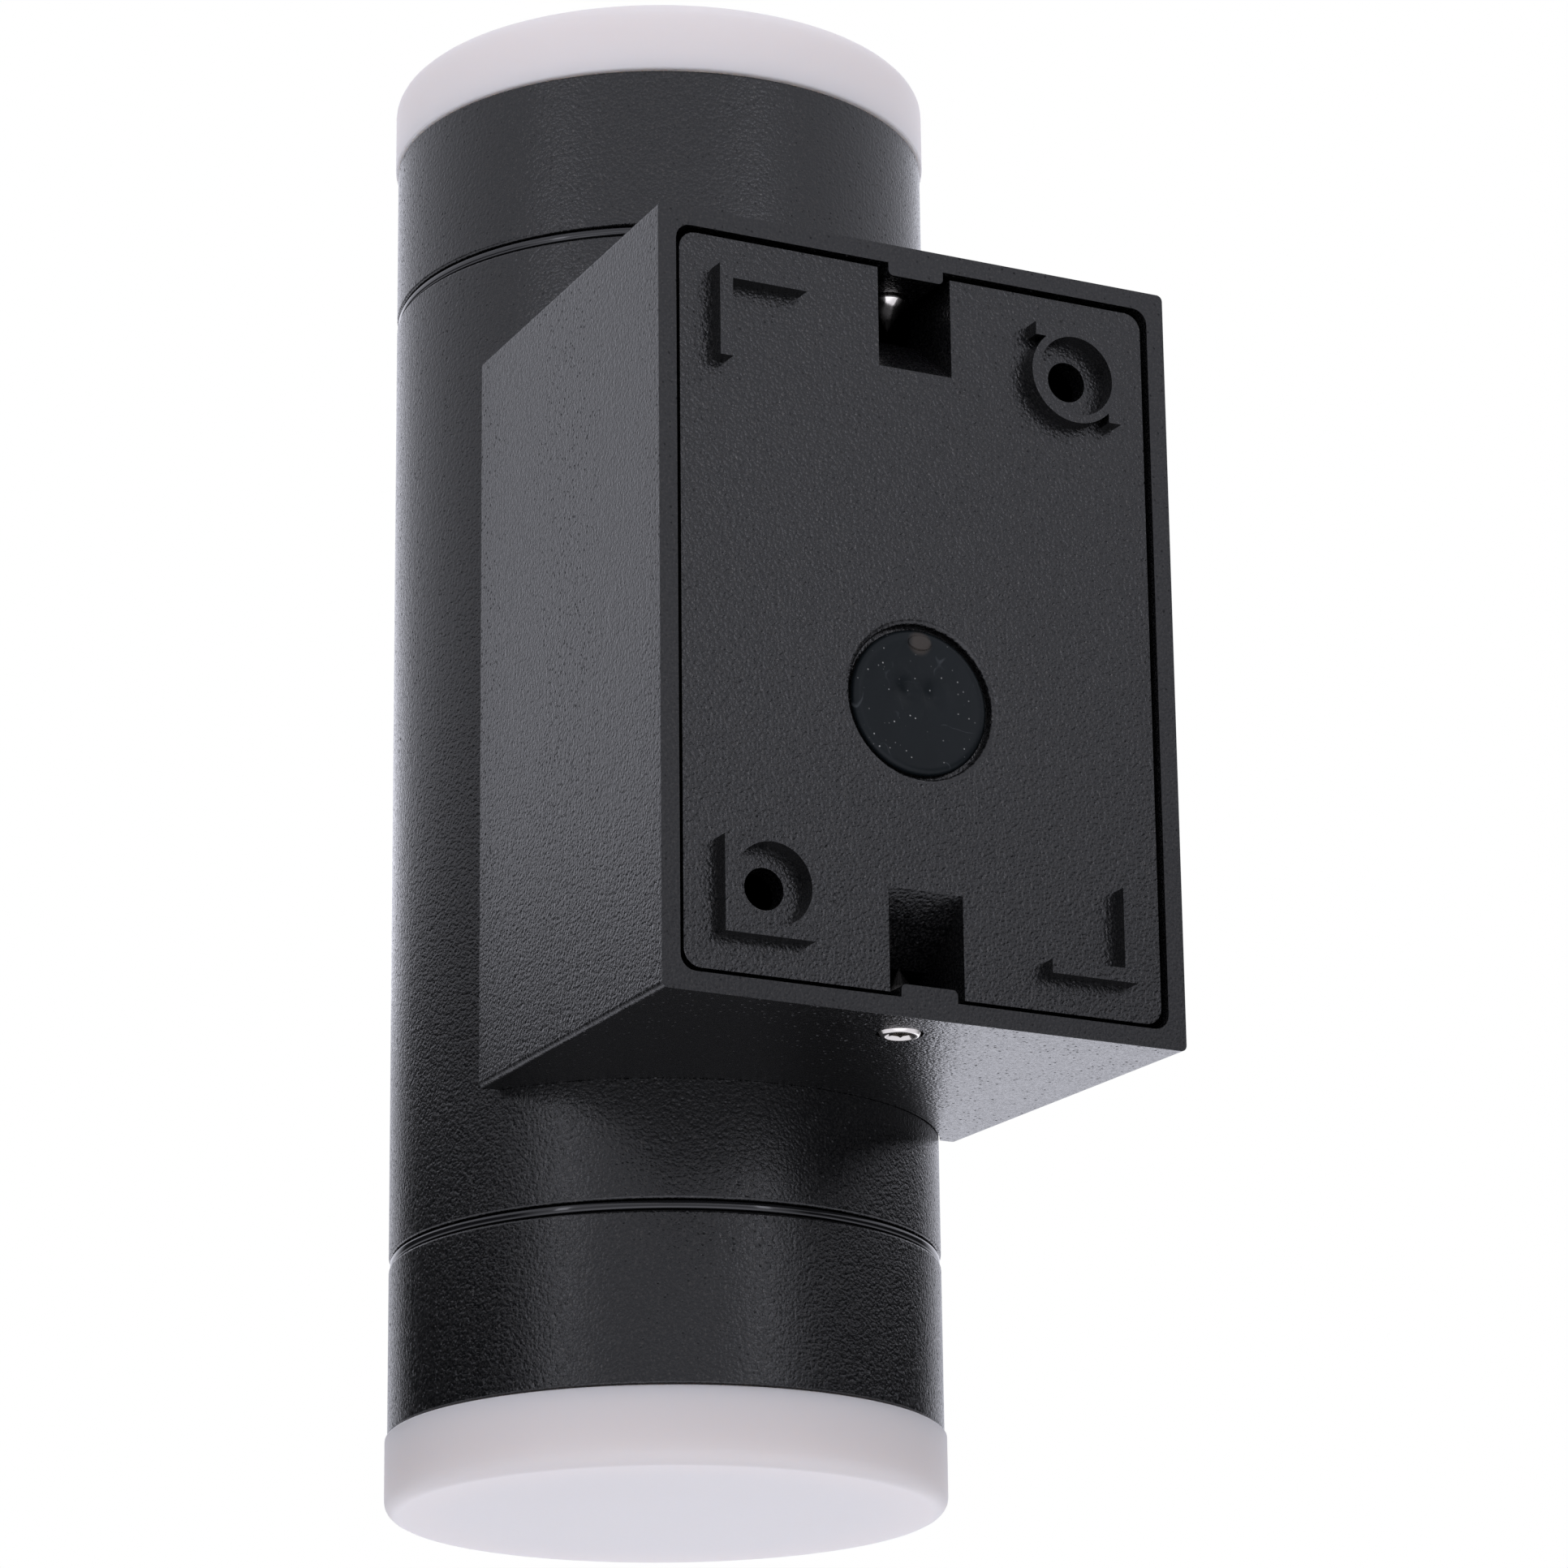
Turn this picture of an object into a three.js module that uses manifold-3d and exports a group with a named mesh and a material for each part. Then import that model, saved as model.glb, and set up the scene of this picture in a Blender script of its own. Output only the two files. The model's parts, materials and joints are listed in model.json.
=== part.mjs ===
// Up-and-down outdoor wall lamp: a round tube with an opal diffuser at each end, carried by a
// drafted box that fits over a cast mounting plate on the wall.
// Millimetres. +Z is up, +Y points into the wall and y = 0 is the face of the wall, so the whole
// lamp stands at negative y. The pieces inside and at the ends of the tube are drawn once, with z
// pointing outwards along the tube's axis, and a half turn about X gives the lower set.
import * as THREE from 'three';
import { mergeVertices } from 'three/addons/utils/BufferGeometryUtils.js';
import Module from 'manifold-3d';

const wasm = await Module();
wasm.setup();

// Driving dimensions.
const GAP = 0.3;
const EMBED = 0.5;
const BEYOND = 2;
const ROUND_SEGMENTS = 36;
const MIDDLE_SEGMENTS = 24;
const SMALL_SEGMENTS = 14;
const TINY_SEGMENTS = 10;

const tube = { radius: 32.5, wall: 2.5, halfLength: 58.6, axisY: -67.5, edge: 0.3 };

const box = {
  rimY: -1.5,
  frontY: -52,
  width: 65,
  height: 90.6,
  draftX: 0.0277,
  draftZ: 0.0178,
  wall: 2.2,
  cornerRadius: 1.5,
  innerRadius: 1.8,
};

const plate = { rearY: -2, frontY: -5, halfWidth: 29.65, halfHeight: 42.5, cornerRadius: 2 };
const ridge = { outerX: 25.6, outerZ: 38.6, length: 10.9, width: 1.6 };
const screwHole = { x: 19.8, z: 32.7, radius: 2.4, sinkRadius: 4.75, sinkY: -2.3, ringRadius: 5.7 };
const notch = { halfWidth: 4.65, innerZ: 30.6, lipZ: 37.2, lipY: -10.5, floor: 2.3, cheek: 1.8 };
const gland = {
  z: -8.6,
  recessRadius: 9.2,
  recessY: -3.4,
  holeRadius: 7.5,
  flangeRadius: 8.5,
  faceY: -2.2,
  innerY: -6.3,
  nubZ: 6.9,
  nubRadius: 0.8,
  nubStretch: 1.9,
};

const grub = {
  y: -8.5,
  radius: 2.5,
  tipZ: 37.8,
  coneLength: 3.4,
  coneRadius: 2.2,
  endZ: 45.5,
  chamfer: 0.4,
  key: 2.5,
  keyDepth: 2.2,
};
const grubBoss = { halfWidth: 3.5, z: 41.6, depth: 12.5 };

const bodyScrew = { z: 34, radius: 2, headRadius: 3.5, headHeight: 2.4, reach: 12 };
const wireHole = { radius: 5, bushRadius: 4.7, flangeRadius: 6.3, flange: 0.8, leadHole: 3.4 };
const terminal = {
  halfWidth: 14,
  lowZ: 8,
  highZ: 24,
  frontY: -31.2,
  webY: -21.7,
  rearY: -19.2,
  pitch: 9,
  fixingX: 4.5,
  fixingZ: 16,
  fixingRadius: 1.8,
  fixingHeadRadius: 2.2,
  padHalf: 4,
  padRise: 1.4,
  poleHalfWidth: 3.4,
  wellInset: 4,
  wellRadius: 2.2,
  wellDepth: 4,
  wireRadius: 1.8,
};
const clampScrew = { radius: 1.9, threadRadius: 1.2, shank: 0.7, height: 1.6 };
const earth = {
  z: -18,
  bossRadius: 4,
  bossY: -30.6,
  radius: 2,
  headRadius: 3.3,
  headHeight: 2.2,
  reach: 2.6,
};

const strip = { inner: 27.8, outer: 29, halfWidth: 5.5, halfLength: 38, wireRadius: 3.7 };
const shelf = { low: 10.5, high: 12, halfWidth: 14, far: -10, near: 24, wireRadius: 4 };
const holder = {
  halfX: 15.2,
  halfY: 9,
  low: 12.3,
  high: 27.3,
  screwX: 11.3,
  screwRadius: 1.8,
  sinkRadius: 3,
  sinkDepth: 3.2,
  slotDepth: 7.7,
};
const pin = { x: 5, radius: 1.6, headRadius: 2.4, headLength: 2.6, length: 7.5, twistDegrees: 30 };
const bulb = { baseZ: 27.6, frontZ: 74.1, radius: 25, lensRadius: 22, lensDepth: 1.5 };

const cap = {
  start: 59.9,
  end: 79.8,
  spigotEnd: 52.5,
  spigotRadius: 29.7,
  spigotWall: 2,
  boreRadius: 29.9,
  ledge: 2.5,
};
const diffuser = {
  radius: 32.8,
  end: 88.8,
  edge: 1.6,
  neckRadius: 28.6,
  clipRadius: 29.4,
  innerRadius: 26,
  low: 72.5,
  face: 2.6,
};
const seal = { inner: 30, outer: 32.35, low: 58.85, high: 59.65, bulge: 0.25 };
const lead = { radius: 1.4, spacing: 1.6 };

// Materials.
function surface(color, roughness, metalness) {
  return new THREE.MeshStandardMaterial({ color, roughness, metalness });
}

const blackCoat = surface(0x2b2c2f, 0.55, 0.3);
const blackRubber = surface(0x161617, 0.6, 0);
const opal = surface(0xe2dfe4, 0.35, 0);
const stainless = surface(0xb9bcc0, 0.25, 1);
const zincSteel = surface(0xa9abad, 0.4, 1);
const ceramic = surface(0xe8e6df, 0.5, 0);
const whiteShell = surface(0xededee, 0.45, 0);
const clearGlass = surface(0xdfe6ea, 0.1, 0);
const terminalPlastic = surface(0xd9d6cc, 0.5, 0);
const cableSheath = surface(0x9a3a2c, 0.55, 0);

// A three.js geometry as a solid: shared corners merged, faces turned to point out.
function solid(geometry) {
  const bare = geometry.index ? geometry.toNonIndexed() : geometry.clone();
  bare.deleteAttribute('normal');
  bare.deleteAttribute('uv');
  const merged = mergeVertices(bare, 1e-4);
  const points = merged.attributes.position;
  const corners = [new THREE.Vector3(), new THREE.Vector3(), new THREE.Vector3()];
  const triangles = [];
  let volume = 0;
  for (let i = 0; i < merged.index.count; i += 3) {
    const ids = [0, 1, 2].map((k) => merged.index.getX(i + k));
    if (new Set(ids).size === 3) {
      triangles.push(ids);
      ids.forEach((id, k) => corners[k].fromBufferAttribute(points, id));
      volume += corners[0].dot(corners[1].cross(corners[2]));
    }
  }
  if (volume < 0) triangles.forEach((ids) => ids.reverse());
  const mesh = new wasm.Mesh({
    numProp: 3,
    vertProperties: new Float32Array(points.array),
    triVerts: new Uint32Array(triangles.flat()),
  });
  return new wasm.Manifold(mesh);
}

// A box between two values on each axis, in either order.
function block(xs, ys, zs) {
  const size = [xs, ys, zs].map(([a, b]) => Math.abs(a - b));
  const centre = [xs, ys, zs].map(([a, b]) => (a + b) / 2);
  return solid(new THREE.BoxGeometry(...size).translate(...centre));
}

// A profile of [radius, z] points turned about Z. It starts and ends on the axis, or is closed.
function turned(profile, segments = ROUND_SEGMENTS) {
  const points = profile.map(([radius, z]) => new THREE.Vector2(radius, z));
  return solid(new THREE.LatheGeometry(points, segments).rotateX(Math.PI / 2));
}

// The same as turned(), with the profile's last point joined back to its first.
function turnedRing(profile, segments = ROUND_SEGMENTS) {
  return turned([...profile, profile[0]], segments);
}

function rod(radius, zs, segments = SMALL_SEGMENTS) {
  return turned([[0, zs[0]], [radius, zs[0]], [radius, zs[1]], [0, zs[1]]], segments);
}

// A turned piece with its axis laid along Y: the profile's z becomes y.
function alongY(piece, x = 0, z = 0) {
  return piece.rotate([-90, 0, 0]).translate([x, 0, z]);
}

function rodY(radius, ys, x, z, segments = SMALL_SEGMENTS) {
  return alongY(rod(radius, ys, segments), x, z);
}

// A shape drawn in (y, z) and drawn out along X.
function prismX(points, xs) {
  const shape = new THREE.Shape(points.map(([y, z]) => new THREE.Vector2(y, z)));
  const depth = xs[1] - xs[0];
  const geometry = new THREE.ExtrudeGeometry(shape, { depth, bevelEnabled: false });
  const turn = new THREE.Matrix4().makeBasis(
    new THREE.Vector3(0, 1, 0),
    new THREE.Vector3(0, 0, 1),
    new THREE.Vector3(1, 0, 0),
  );
  return solid(geometry.applyMatrix4(turn).translate(xs[0], 0, 0));
}

function roundedRectangle(halfWidth, halfHeight, radius) {
  const shape = new THREE.Shape();
  const quarter = Math.PI / 2;
  const x = halfWidth - radius;
  const y = halfHeight - radius;
  shape.absarc(x, y, radius, 0, quarter);
  shape.absarc(-x, y, radius, quarter, 2 * quarter);
  shape.absarc(-x, -y, radius, 2 * quarter, 3 * quarter);
  shape.absarc(x, -y, radius, 3 * quarter, 4 * quarter);
  return shape;
}

// A rounded rectangle in (x, z) drawn out along -Y, from rearY to frontY, as a geometry.
function slabGeometry(halfWidth, halfHeight, radius, rearY, frontY) {
  const shape = roundedRectangle(halfWidth, halfHeight, radius);
  const settings = { depth: rearY - frontY, bevelEnabled: false, curveSegments: 4 };
  return new THREE.ExtrudeGeometry(shape, settings).rotateX(Math.PI / 2).translate(0, rearY, 0);
}

// The box's outline, inset by a wall, with its sides drawn in towards the front.
function draftedSlab(inset, radius, rearY, frontY) {
  const halfWidth = box.width / 2 - inset;
  const halfHeight = box.height / 2 - inset;
  const geometry = slabGeometry(halfWidth, halfHeight, radius, rearY, frontY);
  const points = geometry.attributes.position;
  for (let i = 0; i < points.count; i += 1) {
    const depth = box.rimY - points.getY(i);
    const x = points.getX(i);
    const z = points.getZ(i);
    points.setX(i, x - Math.sign(x) * box.draftX * depth);
    points.setZ(i, z - Math.sign(z) * box.draftZ * depth);
  }
  return solid(geometry);
}

// A hexagonal key socket, as a cutter along Z.
function hexSocket(acrossFlats, zs) {
  return rod(acrossFlats / Math.sqrt(3), zs, 6);
}

// Mounting plate: the cast plate that is screwed to the wall.
function cornerRidge(sideX, sideZ) {
  const x = sideX * ridge.outerX;
  const z = sideZ * ridge.outerZ;
  const ys = [plate.rearY - EMBED, 0];
  const upright = block([x, x - sideX * ridge.width], ys, [z, z - sideZ * ridge.length]);
  const level = block([x, x - sideX * ridge.length], ys, [z, z - sideZ * ridge.width]);
  return upright.add(level);
}

function screwBoss(sideX, sideZ) {
  const x = sideX * screwHole.x;
  const z = sideZ * screwHole.z;
  const ys = [plate.rearY - EMBED, 0];
  const ring = rodY(screwHole.ringRadius, ys, x, z, MIDDLE_SEGMENTS);
  const corner = block([x, sideX * ridge.outerX], ys, [z, sideZ * ridge.outerZ]);
  return ring.add(corner);
}

function screwBossCut(sideX, sideZ) {
  const x = sideX * screwHole.x;
  const z = sideZ * screwHole.z;
  const sink = rodY(screwHole.sinkRadius, [screwHole.sinkY, BEYOND], x, z, MIDDLE_SEGMENTS);
  return sink.add(rodY(screwHole.radius, [plate.frontY - BEYOND, BEYOND], x, z));
}

// The ramp that a grub screw's point draws the lamp in by, between its two cheeks.
function rampAndCheeks(side) {
  const footZ = side * (notch.innerZ - notch.floor);
  const footY = plate.frontY + EMBED;
  const lipZ = side * notch.lipZ;
  const edgeZ = side * (plate.halfHeight - GAP);
  const under = notch.lipY - notch.floor;
  const ramp = [
    [plate.rearY, side * notch.innerZ],
    [notch.lipY, lipZ],
    [under, lipZ],
    [footY, footZ],
    [plate.rearY, footZ],
  ];
  const cheek = [[footY, footZ], [footY, edgeZ], [notch.lipY, edgeZ], [under, lipZ]];
  const inside = notch.halfWidth;
  const outside = inside + notch.cheek;
  return prismX(ramp, [-outside, outside])
    .add(prismX(cheek, [inside, outside]))
    .add(prismX(cheek, [-outside, -inside]));
}

function mountingPlate() {
  const { halfWidth, halfHeight, cornerRadius, rearY, frontY } = plate;
  let body = solid(slabGeometry(halfWidth, halfHeight, cornerRadius, rearY, frontY));
  for (const side of [-1, 1]) {
    const zs = [side * notch.innerZ, side * (halfHeight + BEYOND)];
    body = body.subtract(block([-notch.halfWidth, notch.halfWidth], [frontY - 1, 1], zs));
    body = body.add(rampAndCheeks(side));
  }
  for (const [sideX, sideZ] of [[1, 1], [1, -1], [-1, 1], [-1, -1]]) {
    body = body.add(cornerRidge(sideX, sideZ));
  }
  body = body.add(screwBoss(-1, 1)).add(screwBoss(1, -1));
  body = body.subtract(screwBossCut(-1, 1)).subtract(screwBossCut(1, -1));
  const recess = rodY(gland.recessRadius, [gland.recessY, BEYOND], 0, gland.z, MIDDLE_SEGMENTS);
  const hole = rodY(gland.holeRadius, [frontY - BEYOND, BEYOND], 0, gland.z, MIDDLE_SEGMENTS);
  return body.subtract(recess).subtract(hole);
}

// Rubber grommet: a blind spool in the plate, pierced by the installer's cable.
function cableGrommet() {
  const neck = gland.holeRadius - GAP;
  const { flangeRadius, faceY, innerY, nubRadius, nubStretch, nubZ } = gland;
  const edge = 0.4;
  const spool = turned([
    [0, innerY],
    [flangeRadius, innerY],
    [flangeRadius, plate.frontY - GAP],
    [neck, plate.frontY - GAP],
    [neck, gland.recessY + GAP],
    [flangeRadius, gland.recessY + GAP],
    [flangeRadius, faceY - edge],
    [flangeRadius - edge, faceY],
    [0, faceY],
  ], MIDDLE_SEGMENTS);
  const round = rod(nubRadius, [-EMBED, GAP], TINY_SEGMENTS);
  const nub = round.scale([nubStretch, 1, 1]).rotate([-90, 0, 0]).translate([0, faceY, nubZ]);
  return alongY(spool).add(nub).translate([0, 0, gland.z]);
}

// Wall box: a drafted shell with a saddle for the tube.
function grubBossBlock(side) {
  const zs = [side * grubBoss.z, side * (box.height / 2 - 1)];
  const ys = [box.rimY, box.rimY - grubBoss.depth];
  return block([-grubBoss.halfWidth, grubBoss.halfWidth], ys, zs);
}

function axialCylinder(radius) {
  const reach = box.height / 2 + BEYOND;
  return rod(radius, [-reach, reach], ROUND_SEGMENTS).translate([0, tube.axisY, 0]);
}

function wallBox() {
  const saddle = tube.radius + GAP;
  const outside = draftedSlab(0, box.cornerRadius, box.rimY, box.frontY);
  const inside = draftedSlab(box.wall, box.innerRadius, box.rimY + BEYOND, box.frontY + 1);
  const hollow = inside.subtract(axialCylinder(saddle + box.wall));
  const shellY = tube.axisY + saddle + box.wall;
  const { fixingX, fixingZ, fixingRadius, padHalf, padRise } = terminal;
  const padX = [fixingX - padHalf, fixingX + padHalf];
  const padY = [shellY - padRise, terminal.frontY - GAP];
  const terminalPad = block(padX, padY, [fixingZ - padHalf, fixingZ + padHalf]);
  const earthBoss = rodY(earth.bossRadius, [shellY - EMBED, earth.bossY], 0, earth.z);
  const wallHole = [shellY - 3 * box.wall, shellY + BEYOND];
  let shell = outside.subtract(hollow).add(terminalPad).add(earthBoss);
  for (const side of [-1, 1]) {
    shell = shell.add(grubBossBlock(side));
    const threadZ = [side * (grubBoss.z - 1), side * (box.height / 2 + 1)].sort((a, b) => a - b);
    shell = shell.subtract(rod(grub.radius + GAP, threadZ).translate([0, grub.y, 0]));
    shell = shell.subtract(rodY(bodyScrew.radius + GAP, wallHole, 0, side * bodyScrew.z));
  }
  shell = shell.subtract(rodY(wireHole.radius, wallHole, 0, 0));
  const fixingHole = [shellY - padRise + EMBED, shellY + BEYOND];
  const earthHole = [shellY - EMBED, earth.bossY + BEYOND];
  shell = shell.subtract(rodY(fixingRadius, fixingHole, fixingX, fixingZ));
  shell = shell.subtract(rodY(earth.radius + GAP, earthHole, 0, earth.z));
  return shell.subtract(axialCylinder(saddle));
}

// Body tube, with its holes towards the wall.
function bodyTube() {
  const inner = tube.radius - tube.wall;
  const { radius, halfLength, edge } = tube;
  let body = turnedRing([
    [inner, -halfLength],
    [radius - edge, -halfLength],
    [radius, -halfLength + edge],
    [radius, halfLength - edge],
    [radius - edge, halfLength],
    [inner, halfLength],
  ]);
  const through = [inner - BEYOND, radius + BEYOND];
  body = body.subtract(rodY(wireHole.radius, through, 0, 0));
  for (const side of [-1, 1]) {
    body = body.subtract(rodY(bodyScrew.radius + GAP, through, 0, side * bodyScrew.z));
  }
  return body;
}

// A socket-headed screw along Y, with its head towards the wall.
function screwY(radius, headRadius, headHeight, headY, tipY) {
  const edge = 0.5;
  const topY = headY + headHeight;
  const shape = turned([
    [0, tipY],
    [radius - edge, tipY],
    [radius, tipY + edge],
    [radius, headY],
    [headRadius, headY],
    [headRadius, topY - edge],
    [headRadius - edge, topY],
    [0, topY],
  ], SMALL_SEGMENTS);
  const socket = hexSocket(headRadius, [headY + headHeight * 0.4, topY + BEYOND]);
  return alongY(shape.subtract(socket));
}

function bodyScrewPiece() {
  const { radius, headRadius, headHeight, reach } = bodyScrew;
  const seatY = tube.axisY + tube.radius + GAP + box.wall + GAP;
  return screwY(radius, headRadius, headHeight, seatY, seatY - reach);
}

function earthScrew() {
  const seatY = earth.bossY + GAP;
  const { radius, headRadius, headHeight, reach, z } = earth;
  return screwY(radius, headRadius, headHeight, seatY, seatY - reach).translate([0, 0, z]);
}

// Rubber bush that carries the leads through the box and the tube's wall.
function wireBush() {
  const shellY = tube.axisY + tube.radius + GAP + box.wall;
  const stripY = tube.axisY + strip.outer;
  return alongY(turnedRing([
    [wireHole.leadHole, stripY + GAP],
    [wireHole.bushRadius, stripY + GAP],
    [wireHole.bushRadius, shellY + GAP],
    [wireHole.flangeRadius, shellY + GAP],
    [wireHole.flangeRadius, shellY + GAP + wireHole.flange],
    [wireHole.leadHole, shellY + GAP + wireHole.flange],
  ], SMALL_SEGMENTS));
}

// Terminal block: three poles, each with two clamp screws and a wire hole from end to end.
function terminalWell(index, row) {
  const x = (index - 1) * terminal.pitch;
  const z = row === 0 ? terminal.lowZ + terminal.wellInset : terminal.highZ - terminal.wellInset;
  return { x, z };
}

function terminalBlock() {
  const xs = [-terminal.halfWidth, terminal.halfWidth];
  const zs = [terminal.lowZ, terminal.highZ];
  let body = block(xs, [terminal.frontY, terminal.webY], zs);
  const { frontY, rearY, webY, poleHalfWidth, wellRadius, wellDepth, wireRadius } = terminal;
  const wireY = (frontY + rearY) / 2;
  for (let index = 0; index < 3; index += 1) {
    const { x } = terminalWell(index, 0);
    body = body.add(block([x - poleHalfWidth, x + poleHalfWidth], [rearY, webY - EMBED], zs));
    for (let row = 0; row < 2; row += 1) {
      const well = terminalWell(index, row);
      const wellY = [rearY - wellDepth, rearY + BEYOND];
      body = body.subtract(rodY(wellRadius, wellY, well.x, well.z, TINY_SEGMENTS));
    }
    const wires = rod(wireRadius, [terminal.lowZ - BEYOND, terminal.highZ + BEYOND], TINY_SEGMENTS);
    body = body.subtract(wires.translate([x, wireY, 0]));
  }
  const { fixingX, fixingZ, fixingRadius, fixingHeadRadius } = terminal;
  const through = [frontY - BEYOND, rearY + BEYOND];
  body = body.subtract(rodY(fixingRadius, through, fixingX, fixingZ));
  return body.subtract(rodY(fixingHeadRadius + GAP, [webY, rearY + BEYOND], fixingX, fixingZ));
}

function slottedScrewY(radius, headRadius, seatY, topY, tipY) {
  const slotWidth = 0.7;
  const shape = turned([
    [0, tipY],
    [radius, tipY],
    [radius, seatY],
    [headRadius, seatY],
    [headRadius, topY],
    [0, topY],
  ], TINY_SEGMENTS);
  const reach = headRadius + BEYOND;
  const across = [-slotWidth / 2, slotWidth / 2];
  const slot = block([-reach, reach], across, [topY - slotWidth, topY + BEYOND]);
  return alongY(shape.subtract(slot));
}

function terminalScrew(index, row) {
  const { x, z } = terminalWell(index, row);
  const floor = terminal.rearY - terminal.wellDepth;
  const { radius, threadRadius, shank, height } = clampScrew;
  const tip = floor + GAP;
  const seat = tip + shank;
  return slottedScrewY(threadRadius, radius, seat, seat + height, tip).translate([x, 0, z]);
}

function terminalFixingScrew() {
  const { fixingX, fixingZ, fixingRadius, fixingHeadRadius, webY } = terminal;
  const seatY = webY + GAP;
  const tipY = terminal.frontY - terminal.padRise - GAP;
  const screw = slottedScrewY(fixingRadius - GAP, fixingHeadRadius, seatY, seatY + 2, tipY);
  return screw.translate([fixingX, 0, fixingZ]);
}

// Holder bracket: a strip inside the tube with a shelf for each lamp holder.
function holderBracket() {
  const across = [-strip.halfWidth, strip.halfWidth];
  const through = [strip.inner - BEYOND, strip.outer + BEYOND];
  let body = block(across, [strip.inner, strip.outer], [-strip.halfLength, strip.halfLength]);
  for (const side of [-1, 1]) {
    const zs = [side * shelf.low, side * shelf.high];
    body = body.add(block(across, [shelf.near - EMBED, strip.outer - EMBED], zs));
    body = body.add(block([-shelf.halfWidth, shelf.halfWidth], [shelf.far, shelf.near], zs));
    const cutZ = [side * (shelf.low - 1), side * (shelf.high + 1)].sort((a, b) => a - b);
    body = body.subtract(rod(shelf.wireRadius, cutZ));
    for (const screwX of [-holder.screwX, holder.screwX]) {
      body = body.subtract(rod(holder.screwRadius, cutZ).translate([screwX, 0, 0]));
    }
    body = body.subtract(rodY(bodyScrew.radius + GAP, through, 0, side * bodyScrew.z));
  }
  return body.subtract(rodY(strip.wireRadius, through, 0, 0));
}

// The curved pocket that one lamp pin travels in as the lamp is twisted.
function twistPocket() {
  const inner = pin.x - pin.headRadius - GAP;
  const outer = pin.x + pin.headRadius + GAP;
  const halfPin = Math.asin((pin.headRadius + GAP) / pin.x);
  const start = -halfPin;
  const end = THREE.MathUtils.degToRad(pin.twistDegrees) + halfPin;
  const shape = new THREE.Shape();
  shape.absarc(0, 0, outer, start, end, false);
  shape.absarc(0, 0, inner, end, start, true);
  const settings = { depth: holder.slotDepth + 1, bevelEnabled: false, curveSegments: 6 };
  const geometry = new THREE.ExtrudeGeometry(shape, settings);
  return solid(geometry.translate(0, 0, holder.high - holder.slotDepth));
}

function lampHolder() {
  const xs = [-holder.halfX, holder.halfX];
  let body = block(xs, [-holder.halfY, holder.halfY], [holder.low, holder.high]);
  body = body.subtract(twistPocket()).subtract(twistPocket().rotate([0, 0, 180]));
  const { low, high, screwX, screwRadius, sinkRadius, sinkDepth } = holder;
  for (const x of [-screwX, screwX]) {
    body = body.subtract(rod(screwRadius, [low - 1, high + 1]).translate([x, 0, 0]));
    body = body.subtract(rod(sinkRadius, [high - sinkDepth, high + 1]).translate([x, 0, 0]));
  }
  return body;
}

function holderScrew(x) {
  const seat = holder.high - holder.sinkDepth + GAP;
  const top = seat + 1.8;
  const tip = shelf.low - 1.5;
  const radius = holder.screwRadius - GAP;
  const headRadius = holder.sinkRadius - GAP;
  const shape = turned([
    [0, tip],
    [radius, tip],
    [radius, seat],
    [headRadius, seat],
    [headRadius, top],
    [0, top],
  ], SMALL_SEGMENTS);
  return shape.subtract(hexSocket(2.5, [top - 1, top + BEYOND])).translate([x, 0, 0]);
}

// Twist-and-lock reflector lamp with its two pins.
function lampShell() {
  const { baseZ, frontZ, radius, lensRadius, lensDepth } = bulb;
  let body = turned([
    [0, baseZ],
    [13.2, baseZ],
    [14.2, baseZ + 1],
    [14.8, baseZ + 9],
    [16.5, baseZ + 15],
    [21, baseZ + 27],
    [24, baseZ + 35],
    [radius, baseZ + 41],
    [radius, frontZ - 0.8],
    [radius - 0.8, frontZ],
    [lensRadius + GAP, frontZ],
    [lensRadius + GAP, frontZ - lensDepth],
    [0, frontZ - lensDepth],
  ], MIDDLE_SEGMENTS);
  for (const side of [-1, 1]) {
    const tip = baseZ - pin.length;
    const shank = rod(pin.radius, [tip, baseZ + 1], TINY_SEGMENTS);
    const head = rod(pin.headRadius, [tip, tip + pin.headLength], TINY_SEGMENTS);
    body = body.add(shank.add(head).translate([side * pin.x, 0, 0]));
  }
  return body;
}

function lampLens() {
  const { frontZ, lensRadius, lensDepth } = bulb;
  const low = frontZ - lensDepth + GAP;
  const high = frontZ - 0.1;
  const edge = 0.4;
  return turned([
    [0, low],
    [lensRadius, low],
    [lensRadius, high - edge],
    [lensRadius - edge, high],
    [0, high],
  ], MIDDLE_SEGMENTS);
}

// Screw cap: the end of the tube, with a threaded spigot and a ledge for the diffuser.
function capRing() {
  const { start, end, spigotEnd, spigotRadius, spigotWall, boreRadius, ledge } = cap;
  const chamfer = 0.4;
  return turnedRing([
    [spigotRadius - spigotWall, spigotEnd],
    [spigotRadius - chamfer, spigotEnd],
    [spigotRadius, spigotEnd + chamfer],
    [spigotRadius, start],
    [tube.radius - tube.edge, start],
    [tube.radius, start + tube.edge],
    [tube.radius, end - tube.edge],
    [tube.radius - tube.edge, end],
    [diffuser.neckRadius + GAP, end],
    [diffuser.neckRadius + GAP, end - ledge],
    [boreRadius, end - ledge],
    [boreRadius, start + 3],
    [spigotRadius - spigotWall, start],
  ]);
}

function diffuserCup() {
  const { radius, end, edge, neckRadius, clipRadius, innerRadius, low, face } = diffuser;
  const shoulder = cap.end + GAP;
  const lipTop = cap.end - cap.ledge - GAP;
  return turned([
    [0, end - face],
    [innerRadius, end - face],
    [innerRadius, low],
    [neckRadius, low],
    [clipRadius, (low + lipTop) / 2],
    [clipRadius, lipTop],
    [neckRadius, lipTop],
    [neckRadius, shoulder],
    [radius - 0.3, shoulder],
    [radius, shoulder + 0.3],
    [radius, end - edge],
    [radius - edge * 0.3, end - edge * 0.3],
    [radius - edge, end],
    [0, end],
  ]);
}

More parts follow.
